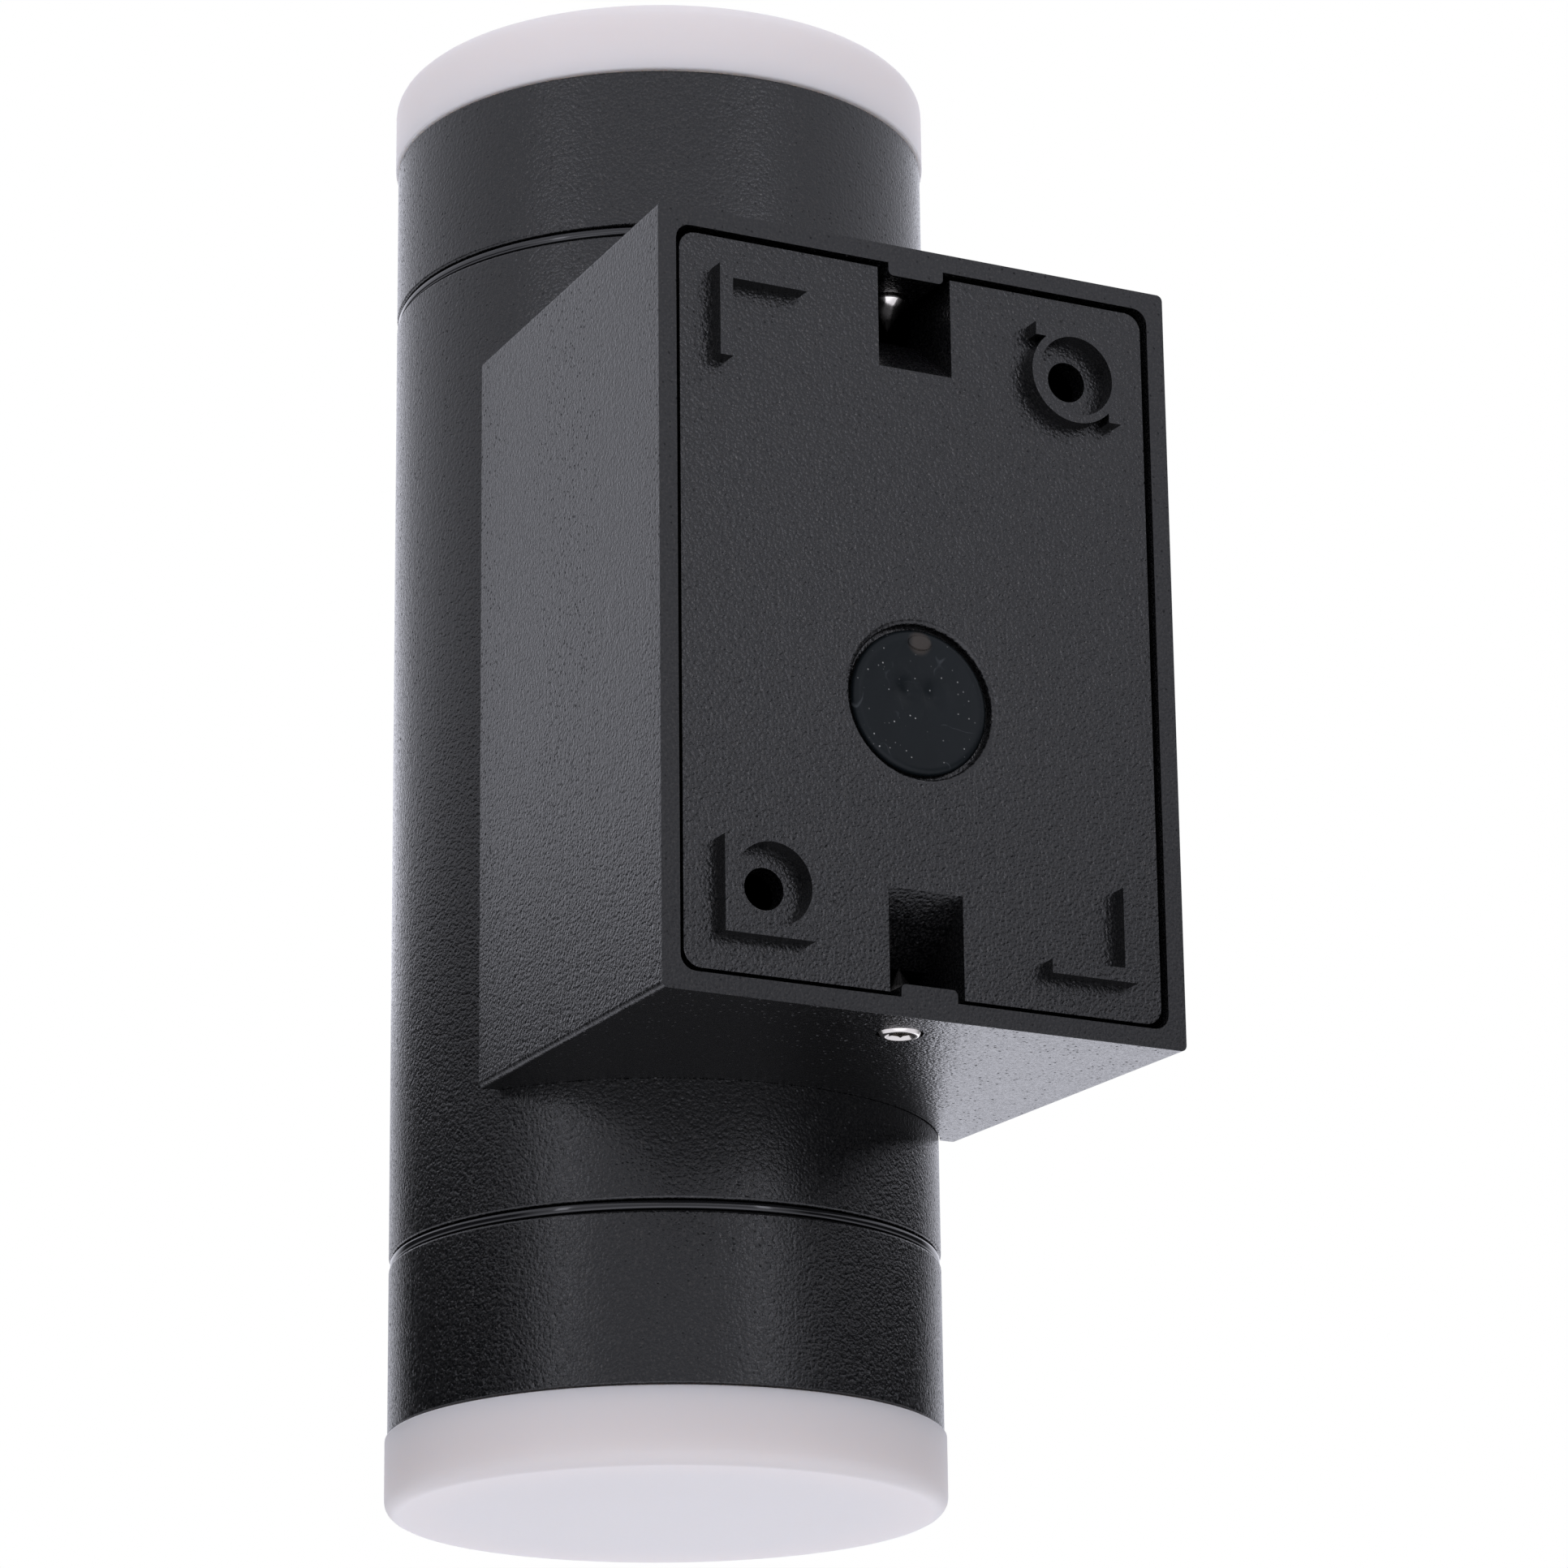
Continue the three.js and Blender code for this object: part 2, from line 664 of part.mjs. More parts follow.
function sealRing() {
  const { inner, outer, low, high, bulge } = seal;
  return turnedRing([
    [inner, low],
    [outer - bulge, low],
    [outer, low + bulge],
    [outer, high - bulge],
    [outer - bulge, high],
    [inner, high],
  ]);
}

// Grub screw with a cone point, drawn pointing down for the top of the box.
function grubScrew() {
  const { y, radius, tipZ, coneLength, coneRadius, endZ, chamfer, key, keyDepth } = grub;
  const shape = turned([
    [0, tipZ],
    [coneRadius, tipZ + coneLength],
    [radius, tipZ + coneLength + chamfer],
    [radius, endZ - chamfer],
    [radius - chamfer, endZ],
    [0, endZ],
  ], SMALL_SEGMENTS);
  return shape.subtract(hexSocket(key, [endZ - keyDepth, endZ + BEYOND])).translate([0, y, 0]);
}

// Sheathed lead from the terminal block, through the bush, to the back of a lamp holder.
function lampLead(side) {
  const x = -side * lead.spacing;
  const startX = -side * terminal.pitch;
  const wireY = (terminal.frontY + terminal.rearY) / 2;
  const route = [
    [startX, wireY, terminal.lowZ - GAP],
    [startX * 0.95, wireY, 4.8],
    [startX * 0.6, wireY - 0.8, 1.6],
    [x * 1.7, wireY - 2.6, 0.3],
    [x, wireY - 5.4, 0],
    [x, tube.axisY + tube.radius, 0],
    [x, tube.axisY + 18, side * 0.4],
    [x, tube.axisY + 6, side * 2.8],
    [x, tube.axisY + 0.8, side * 7],
    [x, tube.axisY, side * (holder.low - GAP)],
  ];
  const curve = new THREE.CatmullRomCurve3(route.map((point) => new THREE.Vector3(...point)));
  const section = new THREE.Shape();
  section.absarc(0, 0, lead.radius, 0, 2 * Math.PI);
  const settings = { steps: 24, bevelEnabled: false, curveSegments: 4, extrudePath: curve };
  return solid(new THREE.ExtrudeGeometry(section, settings));
}

// Assembly.
function addPiece(group, name, piece, material) {
  const mesh = piece.getMesh();
  const geometry = new THREE.BufferGeometry();
  geometry.setAttribute('position', new THREE.BufferAttribute(mesh.vertProperties, 3));
  geometry.setIndex(new THREE.BufferAttribute(mesh.triVerts, 1));
  const node = new THREE.Mesh(geometry, material);
  node.name = name;
  group.add(node);
}

function addBracket(lamp) {
  addPiece(lamp, 'mounting_plate', mountingPlate(), blackCoat);
  addPiece(lamp, 'cable_grommet', cableGrommet(), blackRubber);
}

function addBoxPieces(lamp) {
  addPiece(lamp, 'wall_box', wallBox(), blackCoat);
  addPiece(lamp, 'wire_bush', wireBush(), blackRubber);
  addPiece(lamp, 'earth_screw', earthScrew(), zincSteel);
  addPiece(lamp, 'terminal_block', terminalBlock(), terminalPlastic);
  addPiece(lamp, 'terminal_fixing_screw', terminalFixingScrew(), zincSteel);
  for (let index = 0; index < 3; index += 1) {
    for (let row = 0; row < 2; row += 1) {
      addPiece(lamp, `terminal_screw_${2 * index + row + 1}`, terminalScrew(index, row), zincSteel);
    }
  }
  for (const [name, side] of [['upper', 1], ['lower', -1]]) {
    const screw = bodyScrewPiece().translate([0, 0, side * bodyScrew.z]);
    addPiece(lamp, `${name}_body_screw`, screw, zincSteel);
    addPiece(lamp, `${name}_lead`, lampLead(side), cableSheath);
  }
}

function addTubePieces(lamp) {
  const core = new THREE.Group();
  core.position.set(0, tube.axisY, 0);
  addPiece(core, 'body_tube', bodyTube(), blackCoat);
  addPiece(core, 'holder_bracket', holderBracket(), zincSteel);
  lamp.add(core);
}

function addEndPieces(lamp, name, turn) {
  const end = new THREE.Group();
  end.position.set(0, tube.axisY, 0);
  end.rotation.x = turn;
  addPiece(end, `${name}_lamp_holder`, lampHolder(), ceramic);
  addPiece(end, `${name}_holder_screw_left`, holderScrew(-holder.screwX), zincSteel);
  addPiece(end, `${name}_holder_screw_right`, holderScrew(holder.screwX), zincSteel);
  addPiece(end, `${name}_lamp_shell`, lampShell(), whiteShell);
  addPiece(end, `${name}_lamp_lens`, lampLens(), clearGlass);
  addPiece(end, `${name}_seal_ring`, sealRing(), blackRubber);
  addPiece(end, `${name}_cap_ring`, capRing(), blackCoat);
  addPiece(end, `${name}_diffuser`, diffuserCup(), opal);
  lamp.add(end);
}

function addGrubScrews(lamp) {
  addPiece(lamp, 'upper_grub_screw', grubScrew(), stainless);
  addPiece(lamp, 'lower_grub_screw', grubScrew().mirror([0, 0, 1]), stainless);
}

const wallLamp = new THREE.Group();
addBracket(wallLamp);
addBoxPieces(wallLamp);
addTubePieces(wallLamp);
addEndPieces(wallLamp, 'upper', 0);
addEndPieces(wallLamp, 'lower', Math.PI);
addGrubScrews(wallLamp);

export default wallLamp;
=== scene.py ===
"""Black up-and-down outdoor wall lamp, seen from behind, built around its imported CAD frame.

Lengths are in millimetres until a mesh is made, and the meshes are in metres. x, y and z are the
frame's: +Z up along the tube, +Y into the wall, y = 0 at the wall.
"""
import json
import math

import bmesh
import bpy
from mathutils import Matrix, Vector


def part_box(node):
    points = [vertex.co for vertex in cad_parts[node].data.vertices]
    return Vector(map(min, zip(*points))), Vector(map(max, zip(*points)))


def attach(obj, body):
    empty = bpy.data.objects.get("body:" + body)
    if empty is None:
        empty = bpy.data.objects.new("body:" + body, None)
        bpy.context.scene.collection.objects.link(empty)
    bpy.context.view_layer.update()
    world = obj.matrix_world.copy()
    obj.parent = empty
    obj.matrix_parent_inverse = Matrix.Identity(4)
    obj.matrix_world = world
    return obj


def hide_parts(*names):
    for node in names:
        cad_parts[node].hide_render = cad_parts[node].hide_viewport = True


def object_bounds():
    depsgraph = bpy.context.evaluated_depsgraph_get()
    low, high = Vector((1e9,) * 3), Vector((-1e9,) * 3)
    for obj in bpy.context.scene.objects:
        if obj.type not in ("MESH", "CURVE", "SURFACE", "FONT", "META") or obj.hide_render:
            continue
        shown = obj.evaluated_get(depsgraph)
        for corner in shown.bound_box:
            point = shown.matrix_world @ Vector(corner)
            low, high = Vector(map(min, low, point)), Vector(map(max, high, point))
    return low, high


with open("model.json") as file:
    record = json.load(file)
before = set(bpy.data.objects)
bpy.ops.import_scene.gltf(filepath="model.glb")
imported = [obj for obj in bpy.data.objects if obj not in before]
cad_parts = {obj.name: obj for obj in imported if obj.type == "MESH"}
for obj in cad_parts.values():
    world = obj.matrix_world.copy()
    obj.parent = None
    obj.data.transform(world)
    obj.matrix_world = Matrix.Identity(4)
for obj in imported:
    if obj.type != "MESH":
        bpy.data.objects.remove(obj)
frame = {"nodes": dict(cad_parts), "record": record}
cad_low, cad_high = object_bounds()

MM = 0.001
ROUND = 160
SMALL_ROUND = 48
TAU = 2 * math.pi


# ---------------------------------------------------------------- camera and stage

CAMERA_AZIMUTH = 152.65
CAMERA_ELEVATION = -17.47
CAMERA_ROLL = -0.69
CAMERA_DISTANCE = 0.6894
CAMERA_LENS = 133.8
CAMERA_AIM = (-0.0065, -0.0481, -0.0042)
GROMMET_NUB = (0, -0.0021, -0.0017)
FLOOR_DROP = 1.2
COVE_RADIUS = 6.0
LIGHT_COLOR = (1.0, 1.01, 1.12)
WINDOW_ANGLE = 42
WINDOW_DISTANCE = 1.57
WINDOW_HEIGHT = 0.33


def make_camera():
    azimuth, elevation = math.radians(CAMERA_AZIMUTH), math.radians(CAMERA_ELEVATION)
    back = Vector((
        math.sin(azimuth) * math.cos(elevation),
        -math.cos(azimuth) * math.cos(elevation),
        math.sin(elevation),
    ))
    data = bpy.data.cameras.new("camera")
    data.lens = CAMERA_LENS
    data.sensor_width = 36
    data.clip_start = 0.01
    data.clip_end = 20
    camera = bpy.data.objects.new("camera", data)
    bpy.context.collection.objects.link(camera)
    camera.location = Vector(CAMERA_AIM) + back * CAMERA_DISTANCE
    camera.rotation_mode = "QUATERNION"
    turn = (-back).to_track_quat("-Z", "Y")
    roll = Matrix.Rotation(math.radians(CAMERA_ROLL), 4, "Z").to_quaternion()
    camera.rotation_quaternion = turn @ roll
    bpy.context.scene.camera = camera


def make_floor():
    """A pale floor, and a white cove round it that only the camera sees."""
    mesh = bpy.data.meshes.new("floor")
    z = cad_low.z - FLOOR_DROP
    reach = COVE_RADIUS
    corners = [(-reach, -reach, z), (reach, -reach, z), (reach, reach, z), (-reach, reach, z)]
    mesh.from_pydata(corners, [], [(0, 1, 2, 3)])
    floor = bpy.data.objects.new("floor", mesh)
    bpy.context.collection.objects.link(floor)
    white = Surface("floor_white")
    white.set("Base Color", (0.88, 0.87, 0.80, 1))
    white.set("Roughness", 0.8)
    white.set("Emission Color", (0.9, 0.9, 0.9, 1))
    white.set("Emission Strength", 0.9)
    floor.data.materials.append(white.material)
    floor.visible_glossy = False
    floor.visible_diffuse = False

    tool = bmesh.new()
    bmesh.ops.create_icosphere(tool, subdivisions=4, radius=COVE_RADIUS)
    mesh = bpy.data.meshes.new("cove")
    tool.to_mesh(mesh)
    tool.free()
    cove = bpy.data.objects.new("cove", mesh)
    bpy.context.collection.objects.link(cove)
    glow = Surface("cove_white")
    glow.set("Base Color", (0, 0, 0, 1))
    glow.set("Specular IOR Level", 0.0)
    glow.set("Emission Color", (1, 1, 1, 1))
    glow.set("Emission Strength", 1.0)
    cove.data.materials.append(glow.material)
    cove.visible_glossy = False
    cove.visible_diffuse = False
    cove.visible_transmission = False
    cove.visible_shadow = False
    cove.visible_volume_scatter = False


def add_soft_box(name, offset, size, radiance, shape="RECTANGLE", facing=None):
    """A soft light that faces the lamp, or lies square to facing, and doesn't show in the picture."""
    data = bpy.data.lights.new(name, "AREA")
    data.shape = shape
    data.size = size[0]
    area = size[0] ** 2 * math.pi / 4
    if shape == "RECTANGLE":
        data.size_y = size[1]
        area = size[0] * size[1]
    data.energy = radiance * math.pi * area
    data.color = LIGHT_COLOR
    light = bpy.data.objects.new(name, data)
    bpy.context.collection.objects.link(light)
    away = Vector(facing or offset).normalized()
    light.location = Vector(CAMERA_AIM) + Vector(offset)
    light.rotation_mode = "QUATERNION"
    light.rotation_quaternion = (-away).to_track_quat("-Z", "Y")
    light.visible_camera = False


def make_light():
    """A bright wall behind the lamp, a bright patch behind the camera, light from below and soft boxes."""
    world = bpy.data.worlds.new("studio")
    world.use_nodes = True
    graph = Graph(world.node_tree, "Generated")
    azimuth = math.radians(CAMERA_AZIMUTH)
    toward_camera = Vector((math.sin(azimuth), -math.cos(azimuth), 0))
    height = graph.add("ShaderNodeSeparateXYZ", {"Vector": graph.place}).outputs["Z"]
    along_view = {0: graph.place, 1: toward_camera}
    facing = graph.add("ShaderNodeVectorMath", along_view, operation="DOT_PRODUCT").outputs["Value"]
    low = graph.span(height, 1, 0, (0.26, 0.36))
    behind = graph.math("MULTIPLY", graph.span(facing, 1, 0, (-0.9, -0.7)), graph.span(low, 0.5, 1.0))
    window = graph.math("MULTIPLY", graph.span(facing, 0, 0.60, (0.44, 0.66)), low)
    below = graph.span(height, 0.97, 0.02, (-0.55, -0.02))
    level = graph.math("ADD", graph.math("ADD", behind, window), below)
    background = graph.nodes["Background"]
    background.inputs["Color"].default_value = (*LIGHT_COLOR, 1)
    graph.links.new(level, background.inputs["Strength"])
    scene = bpy.context.scene
    scene.world = world
    scene.view_settings.view_transform = "Standard"
    scene.view_settings.look = "None"
    top = (-0.03, 0.08, cad_high.z + 0.02 - CAMERA_AIM[2])
    add_soft_box("top_light", top, (1.2, 1.2), 0.80, "DISK", facing=(0, 0, 1))
    add_soft_box("low_front_box", (-0.51, -0.97, -0.38), (0.8, 0.38), 0.49)
    for side in (-1, 1):
        turn = Matrix.Rotation(math.radians(side * WINDOW_ANGLE), 3, "Z")
        aside = turn @ toward_camera * WINDOW_DISTANCE
        add_soft_box(f"window_{1 + side}", (aside.x, aside.y, WINDOW_HEIGHT), (0.16, 0.55), 2.3)


# ---------------------------------------------------------------- materials

class Graph:
    """A short way to add nodes and links to one node tree."""

    def __init__(self, tree, coordinate="Object"):
        self.nodes = tree.nodes
        self.links = tree.links
        self.place = self.nodes.new("ShaderNodeTexCoord").outputs[coordinate]

    def add(self, kind, inputs=(), **settings):
        node = self.nodes.new(kind)
        for key, value in settings.items():
            setattr(node, key, value)
        for key, value in dict(inputs).items():
            self.put(node.inputs[key], value)
        return node

    def put(self, socket, value):
        if isinstance(value, bpy.types.NodeSocket):
            self.links.new(value, socket)
        else:
            socket.default_value = value

    def noise(self, scale, detail=3.0, roughness=0.5):
        inputs = {"Vector": self.place, "Scale": scale, "Detail": detail, "Roughness": roughness}
        return self.add("ShaderNodeTexNoise", inputs).outputs["Fac"]

    def specks(self, scale, edge, chosen):
        """Round spots, one to a cell: a random strength each, and none in the cells below chosen."""
        spots = self.add("ShaderNodeTexVoronoi", {"Vector": self.place, "Scale": scale})
        lot = self.add("ShaderNodeSeparateColor", {"Color": spots.outputs["Color"]}).outputs["Red"]
        shape = self.span(spots.outputs["Distance"], 1, 0, edge)
        return self.math("MULTIPLY", shape, self.span(lot, 0, 1, chosen))

    def span(self, value, low, high, source=(0.0, 1.0)):
        """The value's source range taken smoothly to the range from low to high."""
        inputs = {"Value": value, "To Min": low, "To Max": high}
        inputs.update({"From Min": source[0], "From Max": source[1]})
        return self.add("ShaderNodeMapRange", inputs, interpolation_type="SMOOTHSTEP").outputs["Result"]

    def math(self, operation, a, b):
        return self.add("ShaderNodeMath", {0: a, 1: b}, operation=operation).outputs[0]

    def mix(self, factor, a, b):
        node = self.add("ShaderNodeMix", {"Factor": factor}, data_type="RGBA")
        for key, value in ((6, a), (7, b)):
            self.put(node.inputs[key], value if isinstance(value, bpy.types.NodeSocket) else (*value, 1))
        return node.outputs[2]

    def bump(self, height, distance, strength=1.0, below=None):
        inputs = {"Height": height, "Distance": distance, "Strength": strength}
        if below is not None:
            inputs["Normal"] = below
        return self.add("ShaderNodeBump", inputs).outputs["Normal"]


class Surface(Graph):
    """The node tree of one material."""

    def __init__(self, name):
        self.material = bpy.data.materials.new(name)
        self.material.use_nodes = True
        super().__init__(self.material.node_tree)
        self.shader = self.nodes["Principled BSDF"]

    def set(self, key, value):
        self.put(self.shader.inputs[key], value)


def powder_coat(name, rim=0.0):
    """Fine-textured black powder coat: orange peel, grain, metallic glints, pale specks painted into the
    base colour as sparkle (painted highlights), and pits.

    A rim value makes the surface rougher at the rear rim, where it has been rubbed.
    """
    m = Surface(name)
    peel = m.noise(1500, 2.0, 0.55)
    grain = m.noise(2600, 1.5, 0.5)
    cloud = m.noise(28, 3.0)
    glint = m.span(m.noise(3400, 1.0, 0.5), 0, 1, (0.46, 0.80))
    # pale specks painted into the base colour: painted sparkle highlights, not flecks in the coat
    painted_sparkle_speck = m.specks(1100, (0.05, 0.13), (0.72, 1.0))
    pinhole = m.specks(1250, (0.08, 0.26), (0.2, 0.8))
    base = m.mix(cloud, (0.0030, 0.0032, 0.0037), (0.0048, 0.0050, 0.0056))
    base = m.mix(glint, base, (0.066, 0.064, 0.062))
    # the painted sparkle specks mixed into the base colour
    m.set("Base Color", m.mix(painted_sparkle_speck, base, (0.045, 0.045, 0.044)))
    m.set("Metallic", glint)
    rough = m.math("ADD", m.span(grain, 0.18, 0.30, (0.3, 0.7)), m.span(cloud, -0.02, 0.02))
    rough = m.math("ADD", rough, m.math("MULTIPLY", pinhole, 0.5))
    if rim:
        depth = m.add("ShaderNodeSeparateXYZ", {"Vector": m.place}).outputs["Y"]
        rough = m.math("ADD", rough, m.span(depth, 0, rim, (-0.0017, -0.00152)))
    m.set("Roughness", rough)
    m.set("Specular IOR Level", 0.5)
    pitted = m.bump(m.math("MULTIPLY", pinhole, -1.0), 0.00005, 1.0)
    fine = m.bump(grain, 0.00008, 1.0, pitted)
    m.set("Normal", m.bump(peel, 0.00004, 1.0, fine))
    return m.material


def black_rubber(name, roughness, tint):
    """Handled rubber: mottled, dusty, with curved scuffs and a moulding nub rubbed to brown."""
    m = Surface(name)
    mottled = m.noise(160, 4.0)
    pores = m.noise(2600, 2.0)
    dust = m.specks(1500, (0.06, 0.19), (0.62, 1.1))
    path = m.noise(230, 1.0, 0.3)
    line = m.math("ABSOLUTE", m.math("SUBTRACT", path, 0.5), 0)
    thin = m.span(line, 1, 0, (0.002, 0.012))
    scuff = m.math("MULTIPLY", thin, m.span(m.noise(330, 3.0), 0, 0.8, (0.52, 0.72)))
    to_nub = {0: m.place, 1: GROMMET_NUB}
    nub = m.add("ShaderNodeVectorMath", to_nub, operation="DISTANCE").outputs["Value"]
    rubbed = m.mix(mottled, tint, tuple(1.8 * part for part in tint))
    rubbed = m.mix(m.span(nub, 0.75, 0, (0.0009, 0.0017)), rubbed, (0.062, 0.052, 0.044))
    rubbed = m.mix(scuff, rubbed, (0.055, 0.06, 0.064))
    m.set("Base Color", m.mix(dust, rubbed, (0.42, 0.42, 0.40)))
    m.set("Roughness", m.span(mottled, roughness - 0.06, roughness + 0.1))
    m.set("Specular IOR Level", 0.14)
    m.set("Normal", m.bump(pores, 0.00002, 0.4, m.bump(mottled, 0.0003, 0.5)))
    return m.material


def seal_rubber():
    """The seam's O-ring: silicone-greased, so it shines."""
    m = Surface("seal_rubber")
    smear = m.noise(220, 3.0)
    m.set("Base Color", m.mix(smear, (0.006, 0.006, 0.007), (0.011, 0.011, 0.012)))
    m.set("Roughness", m.span(smear, 0.08, 0.16))
    m.set("Specular IOR Level", 0.4)
    m.set("Coat Weight", 0.4)
    m.set("Coat Roughness", 0.08)
    m.set("Normal", m.bump(smear, 0.00003, 0.3))
    return m.material


def opal_acrylic():
    """Frosted opal acrylic: light soaks in and comes out again all round."""
    m = Surface("opal_acrylic")
    cloud = m.noise(40, 2.0)
    frost = m.noise(2600, 2.0)
    m.set("Base Color", m.mix(cloud, (0.785, 0.73, 0.705), (0.81, 0.76, 0.735)))
    m.set("Roughness", m.span(frost, 0.42, 0.56))
    m.set("Subsurface Weight", 0.7)
    m.set("Subsurface Radius", (0.006, 0.0055, 0.005))
    m.set("Subsurface Scale", 1.0)
    m.set("Normal", m.bump(frost, 0.00001, 0.4))
    return m.material


def turned_steel(name, color, roughness, grooves=3500):
    """Bright steel with fine tool marks."""
    m = Surface(name)
    marks = m.noise(grooves, 3.0)
    stain = m.noise(300, 3.0)
    darker = tuple(0.75 * part for part in color)
    m.set("Base Color", m.mix(stain, darker, color))
    m.set("Metallic", 1.0)
    m.set("Roughness", m.span(marks, roughness - 0.06, roughness + 0.08))
    m.set("Normal", m.bump(marks, 0.00001, 0.35))
    return m.material


def plain_moulding(name, light, dark, roughness, grain=1500.0, depth=0.00002):
    """Moulded plastic or fired ceramic, with fine grain and a faint mottle."""
    m = Surface(name)
    mottled = m.noise(90, 3.0)
    fine = m.noise(grain, 3.0)
    m.set("Base Color", m.mix(mottled, dark, light))
    m.set("Roughness", m.span(fine, roughness - 0.07, roughness + 0.07))
    m.set("Normal", m.bump(fine, depth, 0.4))
    return m.material


def lens_glass():
    m = Surface("lens_glass")
    ripple = m.noise(700, 1.0)
    m.set("Base Color", m.mix(ripple, (0.80, 0.83, 0.84), (0.90, 0.92, 0.92)))
    m.set("Roughness", m.span(ripple, 0.18, 0.3))
    m.set("Transmission Weight", 0.75)
    m.set("IOR", 1.49)
    m.set("Normal", m.bump(ripple, 0.0001, 0.5))
    return m.material


def make_materials():
    return {
        "black_coat": powder_coat("black_powder_coat"),
        "box_coat": powder_coat("black_powder_coat_rubbed_rim", 0.22),
        "black_rubber": black_rubber("grommet_rubber", 0.36, (0.0052, 0.0070, 0.0080)),
        "seal": seal_rubber(),
        "opal": opal_acrylic(),
        "stainless": turned_steel("stainless_steel", (0.84, 0.80, 0.75), 0.16),
        "zinc_steel": turned_steel("zinc_steel", (0.62, 0.63, 0.64), 0.32, 2200),
        "ceramic": plain_moulding("white_ceramic", (0.78, 0.76, 0.70), (0.70, 0.68, 0.62), 0.55),
        "lamp_white": plain_moulding("lamp_white", (0.82, 0.82, 0.82), (0.76, 0.76, 0.77), 0.4),
        "lamp_glass": lens_glass(),
        "terminal_plastic": plain_moulding(
            "terminal_nylon", (0.70, 0.67, 0.58), (0.62, 0.59, 0.50), 0.45
        ),
        "lead_sheath": plain_moulding("lead_sheath", (0.36, 0.07, 0.045), (0.28, 0.05, 0.035), 0.5),
    }


# ---------------------------------------------------------------- mesh tools

def filleted(points, steps=5, closed=False):
    """A path of (u, v) or (u, v, radius) points with its corners rounded where a radius is given."""
    result = []
    count = len(points)
    for index, point in enumerate(points):
        radius = point[2] if len(point) > 2 else 0
        corner = Vector(point[:2])
        if radius == 0 or (not closed and index in (0, count - 1)):
            result.append(tuple(corner))
            continue
        to_last = Vector(points[index - 1][:2]) - corner
        to_next = Vector(points[(index + 1) % count][:2]) - corner
        half = to_last.angle(to_next) / 2
        reach = radius / math.tan(half)
        start = corner + to_last.normalized() * reach
        inward = (to_last.normalized() + to_next.normalized()).normalized()
        middle = corner + inward * (radius / math.sin(half))
        end = corner + to_next.normalized() * reach
        first, last = start - middle, end - middle
        sweep = first.angle(last)
        turn = math.copysign(1, first.x * last.y - first.y * last.x)
        for step in range(steps + 1):
            angle = turn * sweep * step / steps
            c, s = math.cos(angle), math.sin(angle)
            x = middle.x + first.x * c - first.y * s
            y = middle.y + first.x * s + first.y * c
            result.append((x, y))
    return result


def mesh_object(name, vertices, faces, scale=MM):
    mesh = bpy.data.meshes.new(name)
    mesh.from_pydata([tuple(scale * part for part in vertex) for vertex in vertices], [], faces)
    mesh.validate()
    tool = bmesh.new()
    tool.from_mesh(mesh)
    bmesh.ops.remove_doubles(tool, verts=tool.verts, dist=1e-8)
    bmesh.ops.recalc_face_normals(tool, faces=tool.faces)
    tool.to_mesh(mesh)
    tool.free()
    item = bpy.data.objects.new(name, mesh)
    bpy.context.collection.objects.link(item)
    return item


def turn_about_z(name, profile, centre=(0, 0), segments=ROUND):
    """Turns an (r, z) profile about a line along Z. It starts and ends on the axis, or is closed."""
    closed = profile[0][0] > 0
    vertices = []
    faces = []
    rows = len(profile)
    for column in range(segments):
        angle = TAU * column / segments
        for radius, z in profile:
            x = centre[0] + radius * math.cos(angle)
            y = centre[1] + radius * math.sin(angle)
            vertices.append((x, y, z))
    last_row = rows if closed else rows - 1
    for column in range(segments):
        here, there = column * rows, ((column + 1) % segments) * rows
        for row in range(last_row):
            after = (row + 1) % rows
            faces.append((here + row, there + row, there + after, here + after))
    return mesh_object(name, vertices, faces)


def lay_along_y(item, x=0.0, z=0.0):
    """Turns an object made about Z so that its z runs along +Y, through (x, z)."""
    move = Matrix.Translation((x * MM, 0, z * MM)) @ Matrix.Rotation(-math.pi / 2, 4, "X")
    item.data.transform(move)
    return item


def flip_end_for_end(item):
    """Half a turn about the X line through the tube's axis, which takes the upper set to the lower."""
    axis = Matrix.Translation((0, AXIS_Y * MM, 0))
    item.data.transform(axis @ Matrix.Rotation(math.pi, 4, "X") @ axis.inverted())
    return item


def prism(name, outline, along, low, high):
    """A closed outline drawn out along an axis. It is in (x, z) for Y, (y, z) for X, (x, y) for Z."""
    def place(u, v, w):
        return {"X": (w, u, v), "Y": (u, w, v), "Z": (u, v, w)}[along]
    count = len(outline)
    vertices = [place(u, v, w) for w in (low, high) for u, v in outline]
    faces = [tuple(range(count)), tuple(range(2 * count - 1, count - 1, -1))]
    for index in range(count):
        after = (index + 1) % count
        faces.append((index, after, count + after, count + index))
    return mesh_object(name, vertices, faces)


def rectangle(low, high, radius=0.0):
    (left, bottom), (right, top) = low, high
    corners = [(left, bottom), (right, bottom), (right, top), (left, top)]
    if not radius:
        return corners
    return filleted([(*corner, radius) for corner in corners], closed=True)


def circle(radius, centre=(0, 0), segments=SMALL_ROUND):
    angles = [TAU * step / segments for step in range(segments)]
    return [(centre[0] + radius * math.cos(a), centre[1] + radius * math.sin(a)) for a in angles]


def block(name, low, high):
    outline = rectangle((low[0], low[2]), (high[0], high[2]))
    return prism(name, outline, "Y", low[1], high[1])


def drum(name, radius, along, low, high, centre=(0, 0), segments=SMALL_ROUND):
    return prism(name, circle(radius, centre, segments), along, low, high)


def combine(item, operation, *tools):
    """Joins to or cuts from item each of the tools, which are used up."""
    for tool in tools:
        modifier = item.modifiers.new("combine", "BOOLEAN")
        modifier.operation = operation
        modifier.solver = "EXACT"
        modifier.object = tool
        bpy.context.view_layer.update()
        evaluated = item.evaluated_get(bpy.context.evaluated_depsgraph_get())
        mesh = bpy.data.meshes.new_from_object(evaluated)
        item.modifiers.clear()
        item.data = mesh
        bpy.data.objects.remove(tool)
    return item


